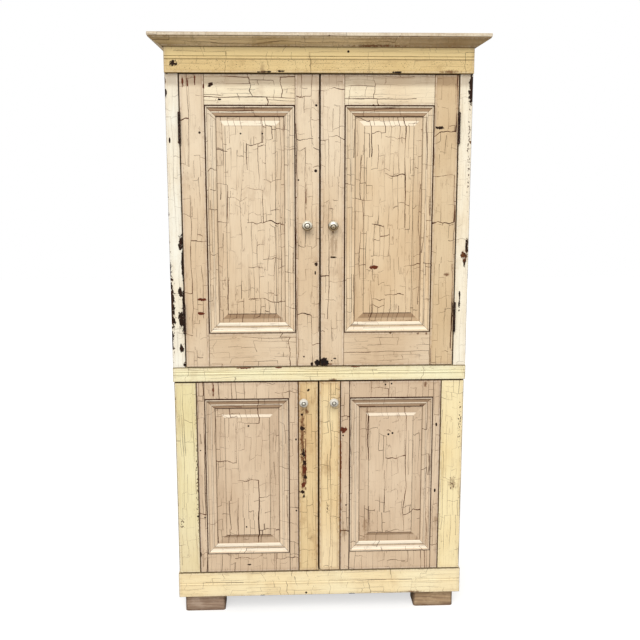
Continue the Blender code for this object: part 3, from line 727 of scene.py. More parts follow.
    def coat(self, piece: str, grain: Grain, seed: float, spots: Sequence[Mark] = (), seams: Sequence[Seam] = (),
             bare: BareSide | None = None, grow: float = 0.0) -> bpy.types.Material:
        """Paints one board.

        Args:
            piece: the node or piece that it is for.
            grain: how its grain runs.
            seed: sets its cracks and clouds.
            spots: marks on its front.
            seams: joint lines on its front.
            bare: which side of it is bare wood, apart from its back.
            grow: how far its front reaches past the node along X, to the left where below 0.

        Returns:
            The material.
        """
        graph = Graph(f"{self.name}_{piece}")
        place = graph.place()
        low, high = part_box(piece)
        low, high = low + Vector((min(grow, 0.0), 0, 0)), high + Vector((max(grow, 0.0), 0, 0))
        across, along = grain.lines(place)
        cracks, force, chance = self.cracks(graph, across, along, seed)
        ragged = graph.over(place, (130.0, 80.0, 80.0), 4.0, 0.68, seed) - 0.5
        brushed = graph.noise(across * 300.0, along * 10.0, seed + 9.0, 2.0)
        cloud, blotch, colour = self.ground(graph, place, seed, chance, brushed, 0.7, True)
        edge = board_edge(place, low, high)
        colour = graph.mix(edge.fall(0.0, 0.016) * (cloud + 0.2) * self.grime_share, colour, self.grime)
        # Painted highlight: a paler band a few mm in from each edge, partly worn paint.
        rubbed_edge_highlight = edge.rise(0.0015, 0.0028) * edge.fall(0.0045, 0.007) * (ragged + 0.5).rise(0.35, 0.6)
        colour = graph.mix(rubbed_edge_highlight * 0.4, colour, graph.mix(0.35, self.light, (1.0, 1.0, 1.0)))
        forward = place.y.fall(low.y + self.mark_depth - SOFT, low.y + self.mark_depth + SOFT)
        gap = (edge + ragged * 0.0022).fall(*GAP_EDGE) * forward * self.gap_share
        # Painted shade: the board's edges behind its face are darkened, as the gaps are in shade.
        if self.edge_share:
            gap = gap.most(edge.fall(*GAP_EDGE) * (1 - forward) * self.edge_share)
        for seam in seams:
            beside, run = (place.x, place.z) if seam.upright else (place.z, place.x)
            line = (abs(beside - seam.at) + ragged * 0.001).fall(seam.width * 0.4, seam.width * 1.3)
            gap = gap.most(line * (run.rise(seam.start - SOFT, seam.start) * run.fall(seam.end, seam.end + SOFT))
                           * seam.share)
        colour = graph.mix(cracks, colour, graph.mix(force, PALE_CRACK, DARK_CRACK))
        colour = graph.mix(gap, colour, DARK_GAP)
        wood, aged = old_wood(graph, across, along, edge, cloud, seed)
        bites = graph.over(place, (48.0, 30.0, 30.0), 4.0, 0.62, seed, 70.0)
        chipped = (bites - edge * 14.0).rise(self.nibble, self.nibble + 0.035)
        colour = graph.mix(chipped, colour, graph.mix(force * 0.8 + 0.2, wood, HARM_TONES[Harm.CHIP]))
        wear = cracks.most(gap).most(chipped)
        for harm, mask in self.mark_masks(graph, place, spots, ragged).items():
            mask = mask * forward * HARM_SHARES.get(harm, 1.0)
            deep = graph.mix((ragged + 0.5).rise(0.42, 0.62) * 0.5, HARM_TONES[harm], DARK_CRACK)
            colour = graph.mix(mask, colour, deep)
            if harm not in HARM_SHARES:
                wear = wear.most(mask)
        hidden = behind(place, high)
        if bare is not None:
            hidden = hidden.most(bare.cover(place))
        darker = math.fmod(seed * 0.37, 1.0) * 0.5
        colour = graph.mix(hidden, colour, graph.mix(darker, aged, tone(120, 90, 60)))
        wear = wear * (1 - hidden)
        return self.close(graph, colour, wear, 1 - wear * 0.5 + brushed * 0.12 + chance * 0.1, blotch)

    def trim_coat(self, name: str, node: str, seed: float, lines: Sequence[Band], painted_light_bands: Sequence[Band],
                  start: float, mitred: float = 0.0, spots: Sequence[Mark] = ()) -> bpy.types.Material:
        """Paints a panel or a moulding, whose lines follow its four sides.

        Args:
            name: the material's name.
            node: the node that it stands for.
            seed: sets its cracks and clouds.
            lines: dark lines, grime in the joints and, where they are darker at the top than at the bottom,
                painted shade: how far in from the edge, how wide, and how dark they are at the top, at
                the sides and at the bottom.
            painted_light_bands: bands of painted light and shade: where they start and end, and how
                much painted highlight (above 0) or painted shade (below 0) they get at the top, at the
                sides and at the bottom.
            start: how far the node's box reaches past the visible edge.
            mitred: how wide its mitred corners are, if it has any.
            spots: marks on its front.

        Returns:
            The material.
        """
        graph = Graph(name)
        place = graph.place()
        low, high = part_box(node)
        edge = board_edge(place, low, high)
        inset = edge - start
        sill = (place.z - low.z - start - inset).fall(SOFT, 0.002)
        lintel = (high.z - place.z - start - inset).fall(SOFT, 0.002)
        level = sill.most(lintel) * (1.0 if mitred > 0 else 0.0)
        upright = 1 - level
        cracks, force, chance = self.cracks(
            graph, place.y + place.x * upright + place.z * level, place.z * upright + place.x * level, seed)
        cracks = cracks * (0.8 if mitred > 0 else 1.0)
        ragged = graph.over(place, (150.0, 110.0, 110.0), 3.0, 0.6, seed) - 0.5
        brushed = graph.noise(place.x * 300.0, place.z * 10.0, seed + 9.0, 2.0)
        cloud, blotch, colour = self.ground(graph, place, seed, chance, brushed, 0.6, False)
        painted_highlight = graph.mix(0.6, self.light, (1.0, 0.93, 0.78))
        # Painted light and shade: each band is lightened towards a painted highlight or darkened with the grime colour,
        # by how it faces at the top, the sides and the bottom.
        for first, last, top, beside, bottom in painted_light_bands:
            band = inset.rise(first, first + 0.0012) * inset.fall(last - 0.0012, last)
            lit = lintel * (top - beside) + sill * (bottom - beside) + beside
            colour = graph.mix(band * lit.most(0.0), colour, painted_highlight)
            colour = graph.mix(band * (0 - lit).most(0.0), colour, self.grime)
        dark_lines_and_shade = None
        # Dark lines: grime in the joints, and painted shade where a line is darker at the top than at the bottom.
        for at, width, top, beside, bottom in lines:
            line = (abs(inset - at) + ragged * 0.0014).fall(width * 0.5, width)
            line = line * (lintel * (top - beside) + sill * (bottom - beside) + beside)
            dark_lines_and_shade = line if dark_lines_and_shade is None else dark_lines_and_shade.most(line)
        if mitred > 0:
            beside = (place.x - low.x).least(high.x - place.x)
            above = (place.z - low.z).least(high.z - place.z)
            mitre = (abs(beside - above) + ragged * 0.001).fall(0.0004, 0.0013)
            dark_lines_and_shade = dark_lines_and_shade.most(mitre * inset.fall(mitred - 0.001, mitred) * 0.7)
        colour = graph.mix(cracks, colour, graph.mix(force, PALE_CRACK, DARK_CRACK))
        colour = graph.mix(dark_lines_and_shade, colour, DARK_GAP)
        wear = dark_lines_and_shade.most(cracks)
        for harm, mask in self.mark_masks(graph, place, spots, ragged).items():
            colour = graph.mix(mask * HARM_SHARES.get(harm, 1.0), colour, HARM_TONES[harm])
            wear = wear.most(mask) if harm not in HARM_SHARES else wear
        _, aged = old_wood(graph, place.x + place.y, place.z, edge, cloud, seed)
        hidden = behind(place, high)
        colour = graph.mix(hidden, colour, aged)
        wear = wear * (1 - hidden)
        return self.close(graph, colour, wear, 1 - wear * 0.5 + brushed * 0.12, blotch)

    def moulding_coat(self, node: str, seed: float, work: "PanelWork") -> bpy.types.Material:
        """Paints a moulding, with grime lines at its outer edge, fillet and inner rim, and painted light and shade on
        its slopes.

        Args:
            node: the node that it stands for.
            seed: sets its cracks and clouds.
            work: its sizes.

        Returns:
            The material.
        """
        rim, cove, width = work.rim, work.rim + work.cove, work.width
        fillet = cove + work.fillet
        # Dark lines: the outline and the joints are grime, and the lines that are darker at the top than at the bottom
        # are partly painted shade.
        lines = ((0.0, 0.0044, 1.0, 1.0, 0.8), (rim + 0.0004, 0.0012, 0.55, 0.35, 0.0),
                 (cove, 0.0010, 0.5, 0.35, 0.3), (fillet, 0.0014, 0.55, 0.4, 0.6), (width, 0.0024, 0.95, 0.5, 0.0))
        # Painted light and shade: the cove and the quarter round are darkened at the top and lightened at the bottom;
        # the rim and the fillet are mostly lightened.
        painted_light_bands = ((0.0025, rim, 0.6, 0.35, 0.5), (rim, cove, -0.9, 0.05, 1.0),
                  (cove + 0.0008, fillet, 0.8, 0.4, -0.2), (fillet, width, -0.85, 0.05, 1.0))
        return self.trim_coat(f"{self.name}_{node}", node, seed, lines, painted_light_bands, 0.0, width)

    def panel_coat(self, node: str, seed: float, work: "PanelWork", spots: Sequence[Mark]) -> bpy.types.Material:
        """Paints a raised panel, with grime beside the moulding and at the field's step, and painted light and shade on
        its margin and slope.

        Args:
            node: the node that it stands for.
            seed: sets its cracks and clouds.
            work: its sizes.
            spots: marks on its front.

        Returns:
            The material.
        """
        margin = work.width + work.margin
        field = margin + work.slope + 0.0008
        lines = ((work.width + 0.0005, 0.0018, 0.8, 0.45, 0.1), (field, 0.0014, 0.4, 0.6, 1.0),
                 (margin, 0.0008, 0.4, 0.2, 0.2))
        # Painted light and shade: the margin is darkened all round, and the slope gets a painted highlight at the top
        # and painted shade at the bottom.
        painted_light_bands = ((work.width, margin, -0.35, -0.15, -0.4), (margin, field, 0.75, -0.05, -0.8))
        return self.trim_coat(f"{self.name}_{node}", node, seed, lines, painted_light_bands, work.tongue, spots=spots)


@dataclass(frozen=True)
class BareWood:
    """Softwood that was never painted, or whose paint has long gone."""

    name: str
    light: Colour
    dark: Colour
    grime: Colour
    roughness: float = 0.72

    def coat(self, piece: str, grain: Grain, seed: float, boards: int = 1) -> bpy.types.Material:
        """Finishes one piece, or a panel of upright boards glued side by side.

        Args:
            piece: the node that it is for.
            grain: how its grain runs.
            seed: sets its rings and clouds.
            boards: how many boards the panel has.

        Returns:
            The material.
        """
        graph = Graph(f"{self.name}_{piece}")
        place = graph.place()
        low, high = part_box(piece)
        across, along = grain.lines(place)
        shift: Number = seed
        seam: Value | None = None
        share: Value | None = None
        if boards > 1:
            spread = (place.x - low.x) * (boards / (high.x - low.x))
            share = graph.dice(spread.floor(), seed)
            shift = share * 40.0 + seed
            seam = abs(spread.fraction() - 0.5).rise(0.4915, 0.495)
        colour, rings = timber_tone(graph, across + shift, along, self.light, self.dark, seed)
        if share is not None:
            colour = graph.mix(share * 0.3, colour, self.dark)
        cloud = graph.over(place, (5.0, 4.0, 5.0), 4.0, 0.6, seed)
        colour = graph.mix(cloud.rise(0.42, 0.78) * 0.55, colour, self.grime)
        split = graph.noise(across * 130.0, along * 3.0, seed + 30.0, 1.0).rise(0.7, 0.74)
        colour = graph.mix(split * 0.8, colour, DARK_CRACK)
        edge = board_edge(place, low, high).fall(0.0, 0.006)
        colour = graph.mix(edge * 0.3, colour, self.grime)
        wear = split
        if seam is not None:
            colour = graph.mix(seam * 0.9, colour, DARK_CRACK)
            wear = wear.most(seam)
        height = rings * 0.3 + (1 - wear) * 0.7
        return graph.surface(
            Base_Color=colour,
            Specular_IOR_Level=0.25,
            Roughness=self.roughness + cloud * 0.15 - rings * 0.08,
            Normal=graph.bump(height, 0.0008, 0.7),
        )


@dataclass(frozen=True)
class RubbedWood:
    """Wood with the rest of a thin wash of paint in its grain."""

    name: str
    wood: Colour
    wash: Colour
    dark: Colour
    roughness: float = 0.68

    def coat(self, piece: str, grain: Grain, seed: float) -> bpy.types.Material:
        """Finishes one block.

        Args:
            piece: the node that it is for.
            grain: how its grain runs.
            seed: sets its wear.

        Returns:
            The material.
        """
        graph = Graph(f"{self.name}_{piece}")
        place = graph.place()
        low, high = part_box(piece)
        across, along = grain.lines(place)
        wood, rings = timber_tone(graph, across + seed, along, self.wood, self.dark, seed)
        cloud = graph.over(place, (26.0, 26.0, 26.0), 4.0, 0.62, seed)
        streak = graph.noise(across * 210.0, along * 11.0, seed + 5.0, 2.0)
        left = (cloud * 0.6 + streak * 0.4).rise(0.44, 0.58)
        colour = graph.mix(left * 0.75, wood, self.wash)
        edge = board_edge(place, low, high)
        worn = (edge + (cloud - 0.5) * 0.02).fall(0.001, 0.007)
        colour = graph.mix(worn * 0.6, colour, self.dark)
        wet = place.z.fall(0.002, 0.022) * (cloud + 0.25)
        colour = graph.mix(wet * 0.7, colour, self.dark)
        return graph.surface(
            Base_Color=colour,
            Specular_IOR_Level=0.25,
            Roughness=self.roughness + cloud * 0.2 - left * 0.08,
            Normal=graph.bump(left * 0.5 + streak * 0.3 + rings * 0.2, 0.0009, 0.8),
        )


@dataclass(frozen=True)
class OldIron:
    """Dull dark iron with rust and flecks of the paint next to it."""

    name: str = "old_iron"
    metal: Colour = tone(38, 22, 14)
    rust: Colour = tone(66, 34, 20)
    fleck: Colour = tone(176, 154, 126)
    paint_share: float = 0.02

    def coat(self, piece: str, seed: float) -> bpy.types.Material:
        """Finishes one fitting.

        Args:
            piece: the piece that it is for.
            seed: sets its rust.

        Returns:
            The material.
        """
        graph = Graph(f"{self.name}_{piece}")
        place = graph.place()
        cloud = graph.over(place, (90.0, 70.0, 90.0), 4.0, 0.65, seed)
        fine = graph.over(place, (600.0, 600.0, 600.0), 3.0, 0.6, seed)
        rust = (cloud * 0.7 + fine * 0.3).rise(0.47, 0.6)
        colour = graph.mix(rust, self.metal, self.rust)
        colour = graph.mix(fine.rise(0.5, 0.75) * 0.5, colour, tone(30, 26, 24))
        flecks = graph.over(place, (260.0, 230.0, 260.0), 3.0, 0.6, seed, 9.0)
        painted = flecks.rise(0.655 - self.paint_share * 0.6, 0.675 - self.paint_share * 0.6)
        colour = graph.mix(painted * 0.85, colour, self.fleck)
        return graph.surface(
            Base_Color=colour,
            Metallic=(1 - rust) * (1 - painted) * 0.75,
            Roughness=0.5 + rust * 0.3 + fine * 0.1,
            Normal=graph.bump(cloud * 0.4 + fine * 0.3 + painted * 0.3, 0.0004, 0.8),
        )


@dataclass(frozen=True)
class WornPlate:
    """Nickel plate that handling has dulled and worn to brass, with painted shade on its lower side."""

    name: str = "worn_plate"
    plate: Colour = tone(238, 234, 218)
    brass: Colour = tone(172, 148, 108)
    tarnish_and_shade: Colour = tone(62, 44, 28)
    ring: float = 0.0084

    def coat(self, piece: str, seed: float, middle: Point, direction: Point) -> bpy.types.Material:
        """Finishes one knob.

        Args:
            piece: the piece that it is for.
            seed: sets its wear.
            middle: middle of the knob's foot.
            direction: the way that it stands out.

        Returns:
            The material.
        """
        graph = Graph(f"{self.name}_{piece}")
        place = graph.place()
        beside = [place.x - middle[0], place.y - middle[1], place.z - middle[2]]
        out = beside[0] * direction[0] + beside[1] * direction[1] + beside[2] * direction[2]
        cloud = graph.over(place, (110.0, 110.0, 110.0), 3.0, 0.6, seed)
        fine = graph.over(place, (900.0, 900.0, 900.0), 2.0, 0.6, seed)
        size = beside[0] * beside[0] + beside[1] * beside[1] + beside[2] * beside[2]
        radius = (size - out * out).most(0.0).root()
        # Painted shade: the knob's lower half is turned towards brass, besides the brass worn through in clouds.
        under = (beside[2] * -1.0 + (cloud - 0.5) * 0.012).rise(-0.002, 0.013)
        colour = graph.mix((cloud.rise(0.5, 0.7) * 0.4).most(under * 0.9), self.plate, self.brass)
        hollow = (out + (cloud - 0.5) * 0.008).fall(0.004, 0.019)
        colour = graph.mix(hollow * 0.85, colour, self.tarnish_and_shade)
        # Painted shade: a dark rim on the knob's lower side.
        low_side = (beside[2] + (cloud - 0.5) * 0.008).fall(-0.006, 0.010)
        rim = radius.rise(0.0128, 0.0172) * low_side * out.rise(0.008, 0.012)
        colour = graph.mix(rim * 0.8, colour, self.tarnish_and_shade)
        groove = (abs(radius - self.ring) + (cloud - 0.5) * 0.001).fall(0.0008, 0.0024) * out.rise(0.024, 0.028)
        colour = graph.mix((groove * 0.95).most(radius.fall(0.0014, 0.0030) * out.rise(0.03, 0.034) * 0.6), colour,
                           self.tarnish_and_shade)
        pits = (cloud * 0.5 + fine * 0.5).rise(0.58, 0.66)
        colour = graph.mix(pits * 0.5, colour, self.tarnish_and_shade)
        return graph.surface(
            Base_Color=colour,
            Metallic=0.55 - (hollow * 0.4).most(pits * 0.3).most(groove * 0.5),
            Roughness=0.3 + hollow * 0.3 + pits * 0.2 + under * 0.1,
            Normal=graph.bump(cloud * 0.5 + fine * 0.2, 0.0003, 0.6),
        )


@dataclass(frozen=True)
class Glaze:
    """White glazed china with grime in its neck, fine crazing and painted shade on its lower left."""

    name: str = "white_glaze"
    body: Colour = tone(224, 221, 212)
    grime: Colour = tone(112, 84, 58)

    def coat(self, piece: str, seed: float, middle: Point) -> bpy.types.Material:
        """Finishes one knob.

        Args:
            piece: the piece that it is for.
            seed: sets its grime.
            middle: middle of the knob's foot.

        Returns:
            The material.
        """
        graph = Graph(f"{self.name}_{piece}")
        place = graph.place()
        cloud = graph.over(place, (80.0, 80.0, 80.0), 3.0, 0.6, seed)
        cells = graph.node(
            "ShaderNodeTexVoronoi",
            {"feature": "DISTANCE_TO_EDGE"},
            {"Vector": graph.vector(place.x, place.y, place.z), "Scale": 420.0},
        )
        crazing = Value(graph, cells.outputs["Distance"]).fall(0.01, 0.05)
        out = middle[1] - place.y
        beside, above = place.x - middle[0], place.z - middle[2]
        radius = (beside * beside + above * above).root()
        hollow = (out + (cloud - 0.5) * 0.012).fall(0.002, 0.016)
        colour = graph.mix(cloud.rise(0.5, 0.75) * 0.35, self.body, tone(206, 192, 164))
        colour = graph.mix(crazing * cloud * 0.5, colour, self.grime)
        # Painted shade: the knob's lower left is darkened with the grime colour.
        under = (above * -1.0 - beside * 0.5 + (cloud - 0.5) * 0.01).rise(0.004, 0.017)
        colour = graph.mix(under * 0.6, colour, self.grime)
        groove = (abs(radius - 0.0068) + (cloud - 0.5) * 0.001).fall(0.0006, 0.0021) * out.rise(0.022, 0.026)
        colour = graph.mix(groove * 0.75, colour, tone(96, 84, 70))
        colour = graph.mix(hollow * 0.8, colour, self.grime)
        return graph.surface(
            Base_Color=colour,
            Roughness=0.16 + hollow * 0.35 + crazing * 0.1,
            Coat_Weight=0.4,
            Normal=graph.bump(1 - crazing * 0.4 + cloud * 0.3, 0.00015, 0.4),
        )


# Painted shadow: a dark band on the upper doors and corner stiles just below the frieze, where the frieze's shadow
# falls.
PAINTED_FRIEZE_SHADOW = Veil(1.823, 1.842, tone(100, 60, 25), 0.47)
# Painted light and shade on the upper doors: paler towards the top, darker towards the bottom.
PAINTED_LIGHT_ABOVE = Veil(1.40, 1.86, tone(255, 244, 220), 0.3)
PAINTED_SHADE_BELOW = Veil(1.20, 0.91, tone(172, 138, 106), 0.12)
UPPER_PAINT = Paint("beige_paint", tone(239, 218, 188), tone(226, 200, 166), tone(172, 138, 106), edge_share=0.7,
                    veils=(PAINTED_LIGHT_ABOVE, PAINTED_SHADE_BELOW, PAINTED_FRIEZE_SHADOW))
RAIL_PAINT = replace(UPPER_PAINT, name="beige_rail", light=tone(252, 238, 208), dark=tone(242, 221, 187),
                     veils=(PAINTED_FRIEZE_SHADOW,))
TANNED_PAINT = replace(UPPER_PAINT, name="tanned_beige", light=tone(230, 206, 169), dark=tone(217, 188, 147),
                       veils=(PAINTED_FRIEZE_SHADOW,))
UPPER_FIELD = replace(UPPER_PAINT, name="beige_field", flake_width=0.019, flake_length=0.055, crack_share=0.9)
RIGHT_FIELD = replace(UPPER_FIELD, name="warm_field", light=tone(238, 214, 179), dark=tone(225, 196, 157))
LOWER_PAINT = Paint("greyed_beige", tone(232, 209, 180), tone(217, 191, 161), tone(164, 134, 106), edge_share=0.7)
# The frieze's veils are painted light and shade: its top band is lightened where the crown's shadow falls, and its
# lower part a little darkened.
FRIEZE_PAINT = Paint("golden_paint", tone(242, 217, 161), tone(230, 200, 140), tone(170, 136, 86),
                     plate_share=0.55, crack_share=0.4, gap_share=0.4, speck_share=0.85, veils=(
                         Veil(1.908, 1.924, tone(255, 229, 168), 0.85), Veil(1.916, 1.904, tone(176, 142, 92), 0.12)))
STAINED_PAINT = Paint("stained_paint", tone(238, 214, 166), tone(222, 188, 138), tone(160, 118, 72),
                      plate_share=0.6, crack_share=0.6, grime_share=0.7, edge_share=0.7)
LIP_PAINT = Paint("lip_paint", tone(250, 238, 212), tone(234, 216, 186), tone(158, 130, 94),
                  grime_share=0.6, plate_share=0.4, crack_share=0.4, roughness=0.55, gap_share=0.1)
YELLOW_PAINT = Paint("yellow_paint", tone(254, 238, 192), tone(247, 224, 171), tone(184, 152, 104),
                     grime_share=0.4, plate_share=0.6, crack_share=0.55)
WAIST_PAINT = replace(YELLOW_PAINT, name="waist_paint", light=tone(255, 249, 210), dark=tone(253, 238, 191))
GREEN_PAINT = replace(YELLOW_PAINT, name="greenish_yellow", light=tone(250, 240, 199), dark=tone(240, 226, 175),
                      edge_share=0.7, veils=(Veil(0.50, 0.17, tone(196, 148, 100), 0.2),))
BOARD_PAINT = replace(YELLOW_PAINT, name="yellow_board", edge_share=0.7)
BASE_PAINT = replace(YELLOW_PAINT, name="base_paint", light=tone(255, 241, 201), dark=tone(250, 228, 181))
PALE_STAINED = replace(STAINED_PAINT, name="pale_stained", light=tone(250, 230, 184), dark=tone(236, 206, 156),
                       veils=(Veil(0.45, 0.17, tone(255, 238, 204), 0.45),))
CREAM_PAINT = Paint("cream_paint", tone(255, 253, 240), tone(252, 242, 220), tone(200, 172, 132),
                    grime_share=0.35, plate_share=0.4, crack_share=0.3, nibble=0.6,
                    veils=(Veil(1.70, 1.87, tone(220, 190, 140), 0.18), replace(PAINTED_FRIEZE_SHADOW, share=0.36)))
WARM_CREAM = replace(CREAM_PAINT, name="warm_cream", light=tone(255, 248, 229), dark=tone(252, 237, 208))
SIDE_PAINT = Paint("side_paint", tone(253, 243, 218), tone(246, 230, 196), tone(190, 160, 120),
                   flake_width=0.026, flake_length=0.085, plate_share=0.55, crack_share=0.5)
CORNICE_PAINT = Paint("dirty_cream", tone(248, 225, 181), tone(222, 195, 144), tone(142, 112, 72),
                      grime_share=0.85, plate_share=0.6, crack_share=0.45, roughness=0.6, mark_depth=0.09)
INSIDE_WOOD = BareWood("inside_wood", tone(186, 152, 112), tone(146, 108, 72), tone(96, 70, 48))
BACK_WOOD = BareWood("back_wood", tone(190, 160, 126), tone(146, 114, 82), tone(104, 82, 60))
FOOT_WOOD = RubbedWood("foot_wood", tone(173, 147, 126), tone(190, 168, 148), tone(110, 86, 68))
TAN_FOOT = replace(FOOT_WOOD, name="tan_foot", wood=tone(191, 161, 126), wash=tone(208, 181, 146))
IRON = OldIron()


# Modelling


def smooth_run(points: Sequence[tuple[float, float]], steps: int = 4) -> list[tuple[float, float]]:
    """Rounds a run of points with a smooth curve through all of them.

    Args:
        points: the run.
        steps: how many pieces each span gets.

    Returns:
        The finer run.
    """
    spaced = [points[0], *points, points[-1]]
    fine = []
    for before, first, last, after in zip(spaced, spaced[1:], spaced[2:], spaced[3:]):
        for step in range(steps):
            t = step / steps
            fine.append(tuple(
                0.5 * (2 * p1 + (p2 - p0) * t + (2 * p0 - 5 * p1 + 4 * p2 - p3) * t * t
                       + (3 * p1 - 3 * p2 + p3 - p0) * t ** 3)
                for p0, p1, p2, p3 in zip(before, first, last, after)))
    return [*fine, points[-1]]


class Bench:
    """One new piece on the bench, shaped with Blender's own operators."""

    def __init__(self, name: str) -> None:
        """Clears the bench for a piece of that name."""
        self.name = name
        bpy.ops.object.select_all(action="DESELECT")

    @property
    def piece(self) -> bpy.types.Object:
        """The piece itself."""
        return bpy.context.object

    def edit(self, mode: str = "FACE") -> None:
        """Goes into edit mode, with nothing selected.

        Args:
            mode: what is picked: FACE or EDGE.
        """
        bpy.ops.object.mode_set(mode="EDIT")
        bpy.ops.mesh.select_mode(type=mode)
        bpy.ops.mesh.select_all(action="DESELECT")

    def rest(self) -> None:
        """Goes back to object mode."""
        bpy.ops.object.mode_set(mode="OBJECT")

    def pick_faces(self, test: Callable[[Vector, Vector], bool]) -> None:
        """Selects faces in edit mode.

        Args:
            test: says from a face's middle and normal whether it is taken.
        """
        shape = bmesh.from_edit_mesh(self.piece.data)
        for face in shape.faces:
            face.select_set(test(face.calc_center_median(), face.normal))
        shape.select_flush_mode()
        bmesh.update_edit_mesh(self.piece.data)

    def pick_edges(self, test: Callable[[Vector, bool], bool]) -> None:
        """Selects edges in edit mode.

        Args:
            test: says from an edge's middle, and whether it is open, if it is taken.
        """
        shape = bmesh.from_edit_mesh(self.piece.data)
        for edge in shape.edges:
            edge.select_set(test((edge.verts[0].co + edge.verts[1].co) / 2, edge.is_boundary))
        shape.select_flush_mode()
        bmesh.update_edit_mesh(self.piece.data)

    def block(self, low: Point, high: Point) -> None:
        """Starts from a box.

        Args:
            low: its lowest corner.
            high: its highest corner.
        """
        middle = [(a + b) / 2 for a, b in zip(low, high)]
        bpy.ops.mesh.primitive_cube_add(size=1, location=middle, scale=[b - a for a, b in zip(low, high)])
        self.piece.name = self.name
        bpy.ops.object.transform_apply(location=True, rotation=True, scale=True)

    def turned(self, middle: Point, run: Sequence[tuple[float, float]], sides: int = 48) -> None:
        """Starts from a disc that faces the front, and draws it out along a turned profile.

        Args:
            middle: middle of the profile's start.
            run: radius, and how far forward of the middle, from start to tip.
            sides: how many sides the circle has.
        """
        radius, out = run[0]
        x, y, z = middle
        bpy.ops.mesh.primitive_circle_add(
            vertices=sides, radius=radius, fill_type="NGON", location=(x, y - out, z),
            rotation=(math.radians(90), 0, 0))
        self.piece.name = self.name
        bpy.ops.object.transform_apply(location=True, rotation=True, scale=True)
        bpy.ops.object.mode_set(mode="EDIT")
        bpy.ops.mesh.select_mode(type="FACE")
        bpy.ops.mesh.select_all(action="SELECT")
        for next_radius, next_out in run[1:]:
            bpy.ops.mesh.extrude_region_move(TRANSFORM_OT_translate={"value": (0, out - next_out, 0)})
            share = next_radius / radius
            bpy.ops.transform.resize(value=(share, 1, share), center_override=(x, y - next_out, z))
            radius, out = next_radius, next_out
        bpy.ops.mesh.select_all(action="SELECT")
        bpy.ops.mesh.normals_make_consistent(inside=False)
        self.rest()

    def step_in(self, run: Sequence[tuple[float, float]]) -> None:
        """Steps the selected face inwards along a section: how far in, and how far out of its plane."""
        for (across, out), (next_across, next_out) in zip(run, run[1:]):
            bpy.ops.mesh.inset(thickness=next_across - across, depth=next_out - out, use_even_offset=True)

    def tilt(self, middle: Point, angle: float) -> None:
        """Turns the whole piece, its front downwards.

        Args:
            middle: a point on the level line that it turns about.
            angle: how far it turns.
        """
        turn = Matrix.Translation(middle) @ Matrix.Rotation(angle, 4, "X") @ Matrix.Translation(-Vector(middle))
        self.piece.matrix_world = turn @ self.piece.matrix_world
        bpy.ops.object.transform_apply(location=True, rotation=True, scale=True)

    def finish(self, body: str, material: bpy.types.Material, replaces: Sequence[str] = (),
               slot: str | None = None, angle: float = 34.0) -> bpy.types.Object:
        """Smooths, finishes and hangs the piece.

        Args:
            body: the body that it moves with.
            material: its finish.
            replaces: nodes that it stands for.
            slot: not used.
            angle: edges flatter than this are smoothed, in degrees.

        Returns:
            The piece.
        """
        piece = self.piece
        bpy.ops.object.shade_smooth_by_angle(angle=math.radians(angle))
        piece.data.materials.clear()
        piece.data.materials.append(material)
        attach(piece, body)
        if replaces:
            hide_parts(*replaces)
        return piece


@dataclass
class Knob:
    """A turned knob on its shank, seen from the front.

    The profile gives radius and reach as shares, from the foot to the tip.
    """

    radius: float
    reach: float
    profile: Sequence[tuple[float, float]]
    shank: float = 0.0035
    depth: float = 0.012
    lift: float = 0.0003

    def run(self) -> list[tuple[float, float]]:
        """Radius and reach along the whole knob, shank first."""
        turned = smooth_run([(share * self.radius, far * self.reach) for share, far in self.profile])
        return [(self.shank, -self.depth), (self.shank, self.lift), *turned, (0.0004, turned[-1][1])]

    def build(self, name: str, body: str, place: Point, material: bpy.types.Material, node: str,
              slot: str, droop: float = 0.0) -> None:
        """Turns the knob and fits it.

        Args:
            name: the piece's name.
            body: the body that it moves with.
            place: where its axis meets the door.
            material: its finish.
            node: the node that it stands for.
            slot: not used; it is only handed on to Bench.finish.
            droop: how far it hangs down, in degrees.
        """
        bench = Bench(name)
        bench.turned(place, self.run())
        if droop:
            bench.tilt(place, math.radians(droop))
        bench.finish(body, material, (node,), slot)
        LOG.info("%s built", name)


METAL_KNOB = Knob(0.0176, 0.036, (
    (0.62, 0.012), (0.62, 0.045), (0.52, 0.085), (0.40, 0.14), (0.34, 0.22), (0.36, 0.32), (0.48, 0.40),
    (0.74, 0.46), (0.93, 0.53), (1.00, 0.62), (0.985, 0.70), (0.90, 0.79), (0.76, 0.86), (0.65, 0.90),
    (0.60, 0.915), (0.555, 0.905), (0.52, 0.875), (0.48, 0.865), (0.44, 0.885), (0.41, 0.93), (0.35, 0.965),
    (0.22, 0.99), (0.02, 1.0),
))
CHINA_KNOB = Knob(0.0155, 0.031, (
    (0.56, 0.013), (0.56, 0.07), (0.53, 0.14), (0.52, 0.19), (0.60, 0.26), (0.78, 0.34), (0.94, 0.43),
    (1.00, 0.53), (0.985, 0.63), (0.90, 0.75), (0.76, 0.85), (0.62, 0.92), (0.52, 0.945), (0.45, 0.94),
    (0.41, 0.91), (0.38, 0.86), (0.20, 0.85), (0.02, 0.85),
))
CHINA_SCREW = Knob(0.0052, 0.0042, (
    (0.96, 0.05), (1.0, 0.22), (0.96, 0.45), (0.80, 0.72), (0.50, 0.92), (0.02, 1.0),
), shank=0.0018, depth=0.001, lift=0.0001)


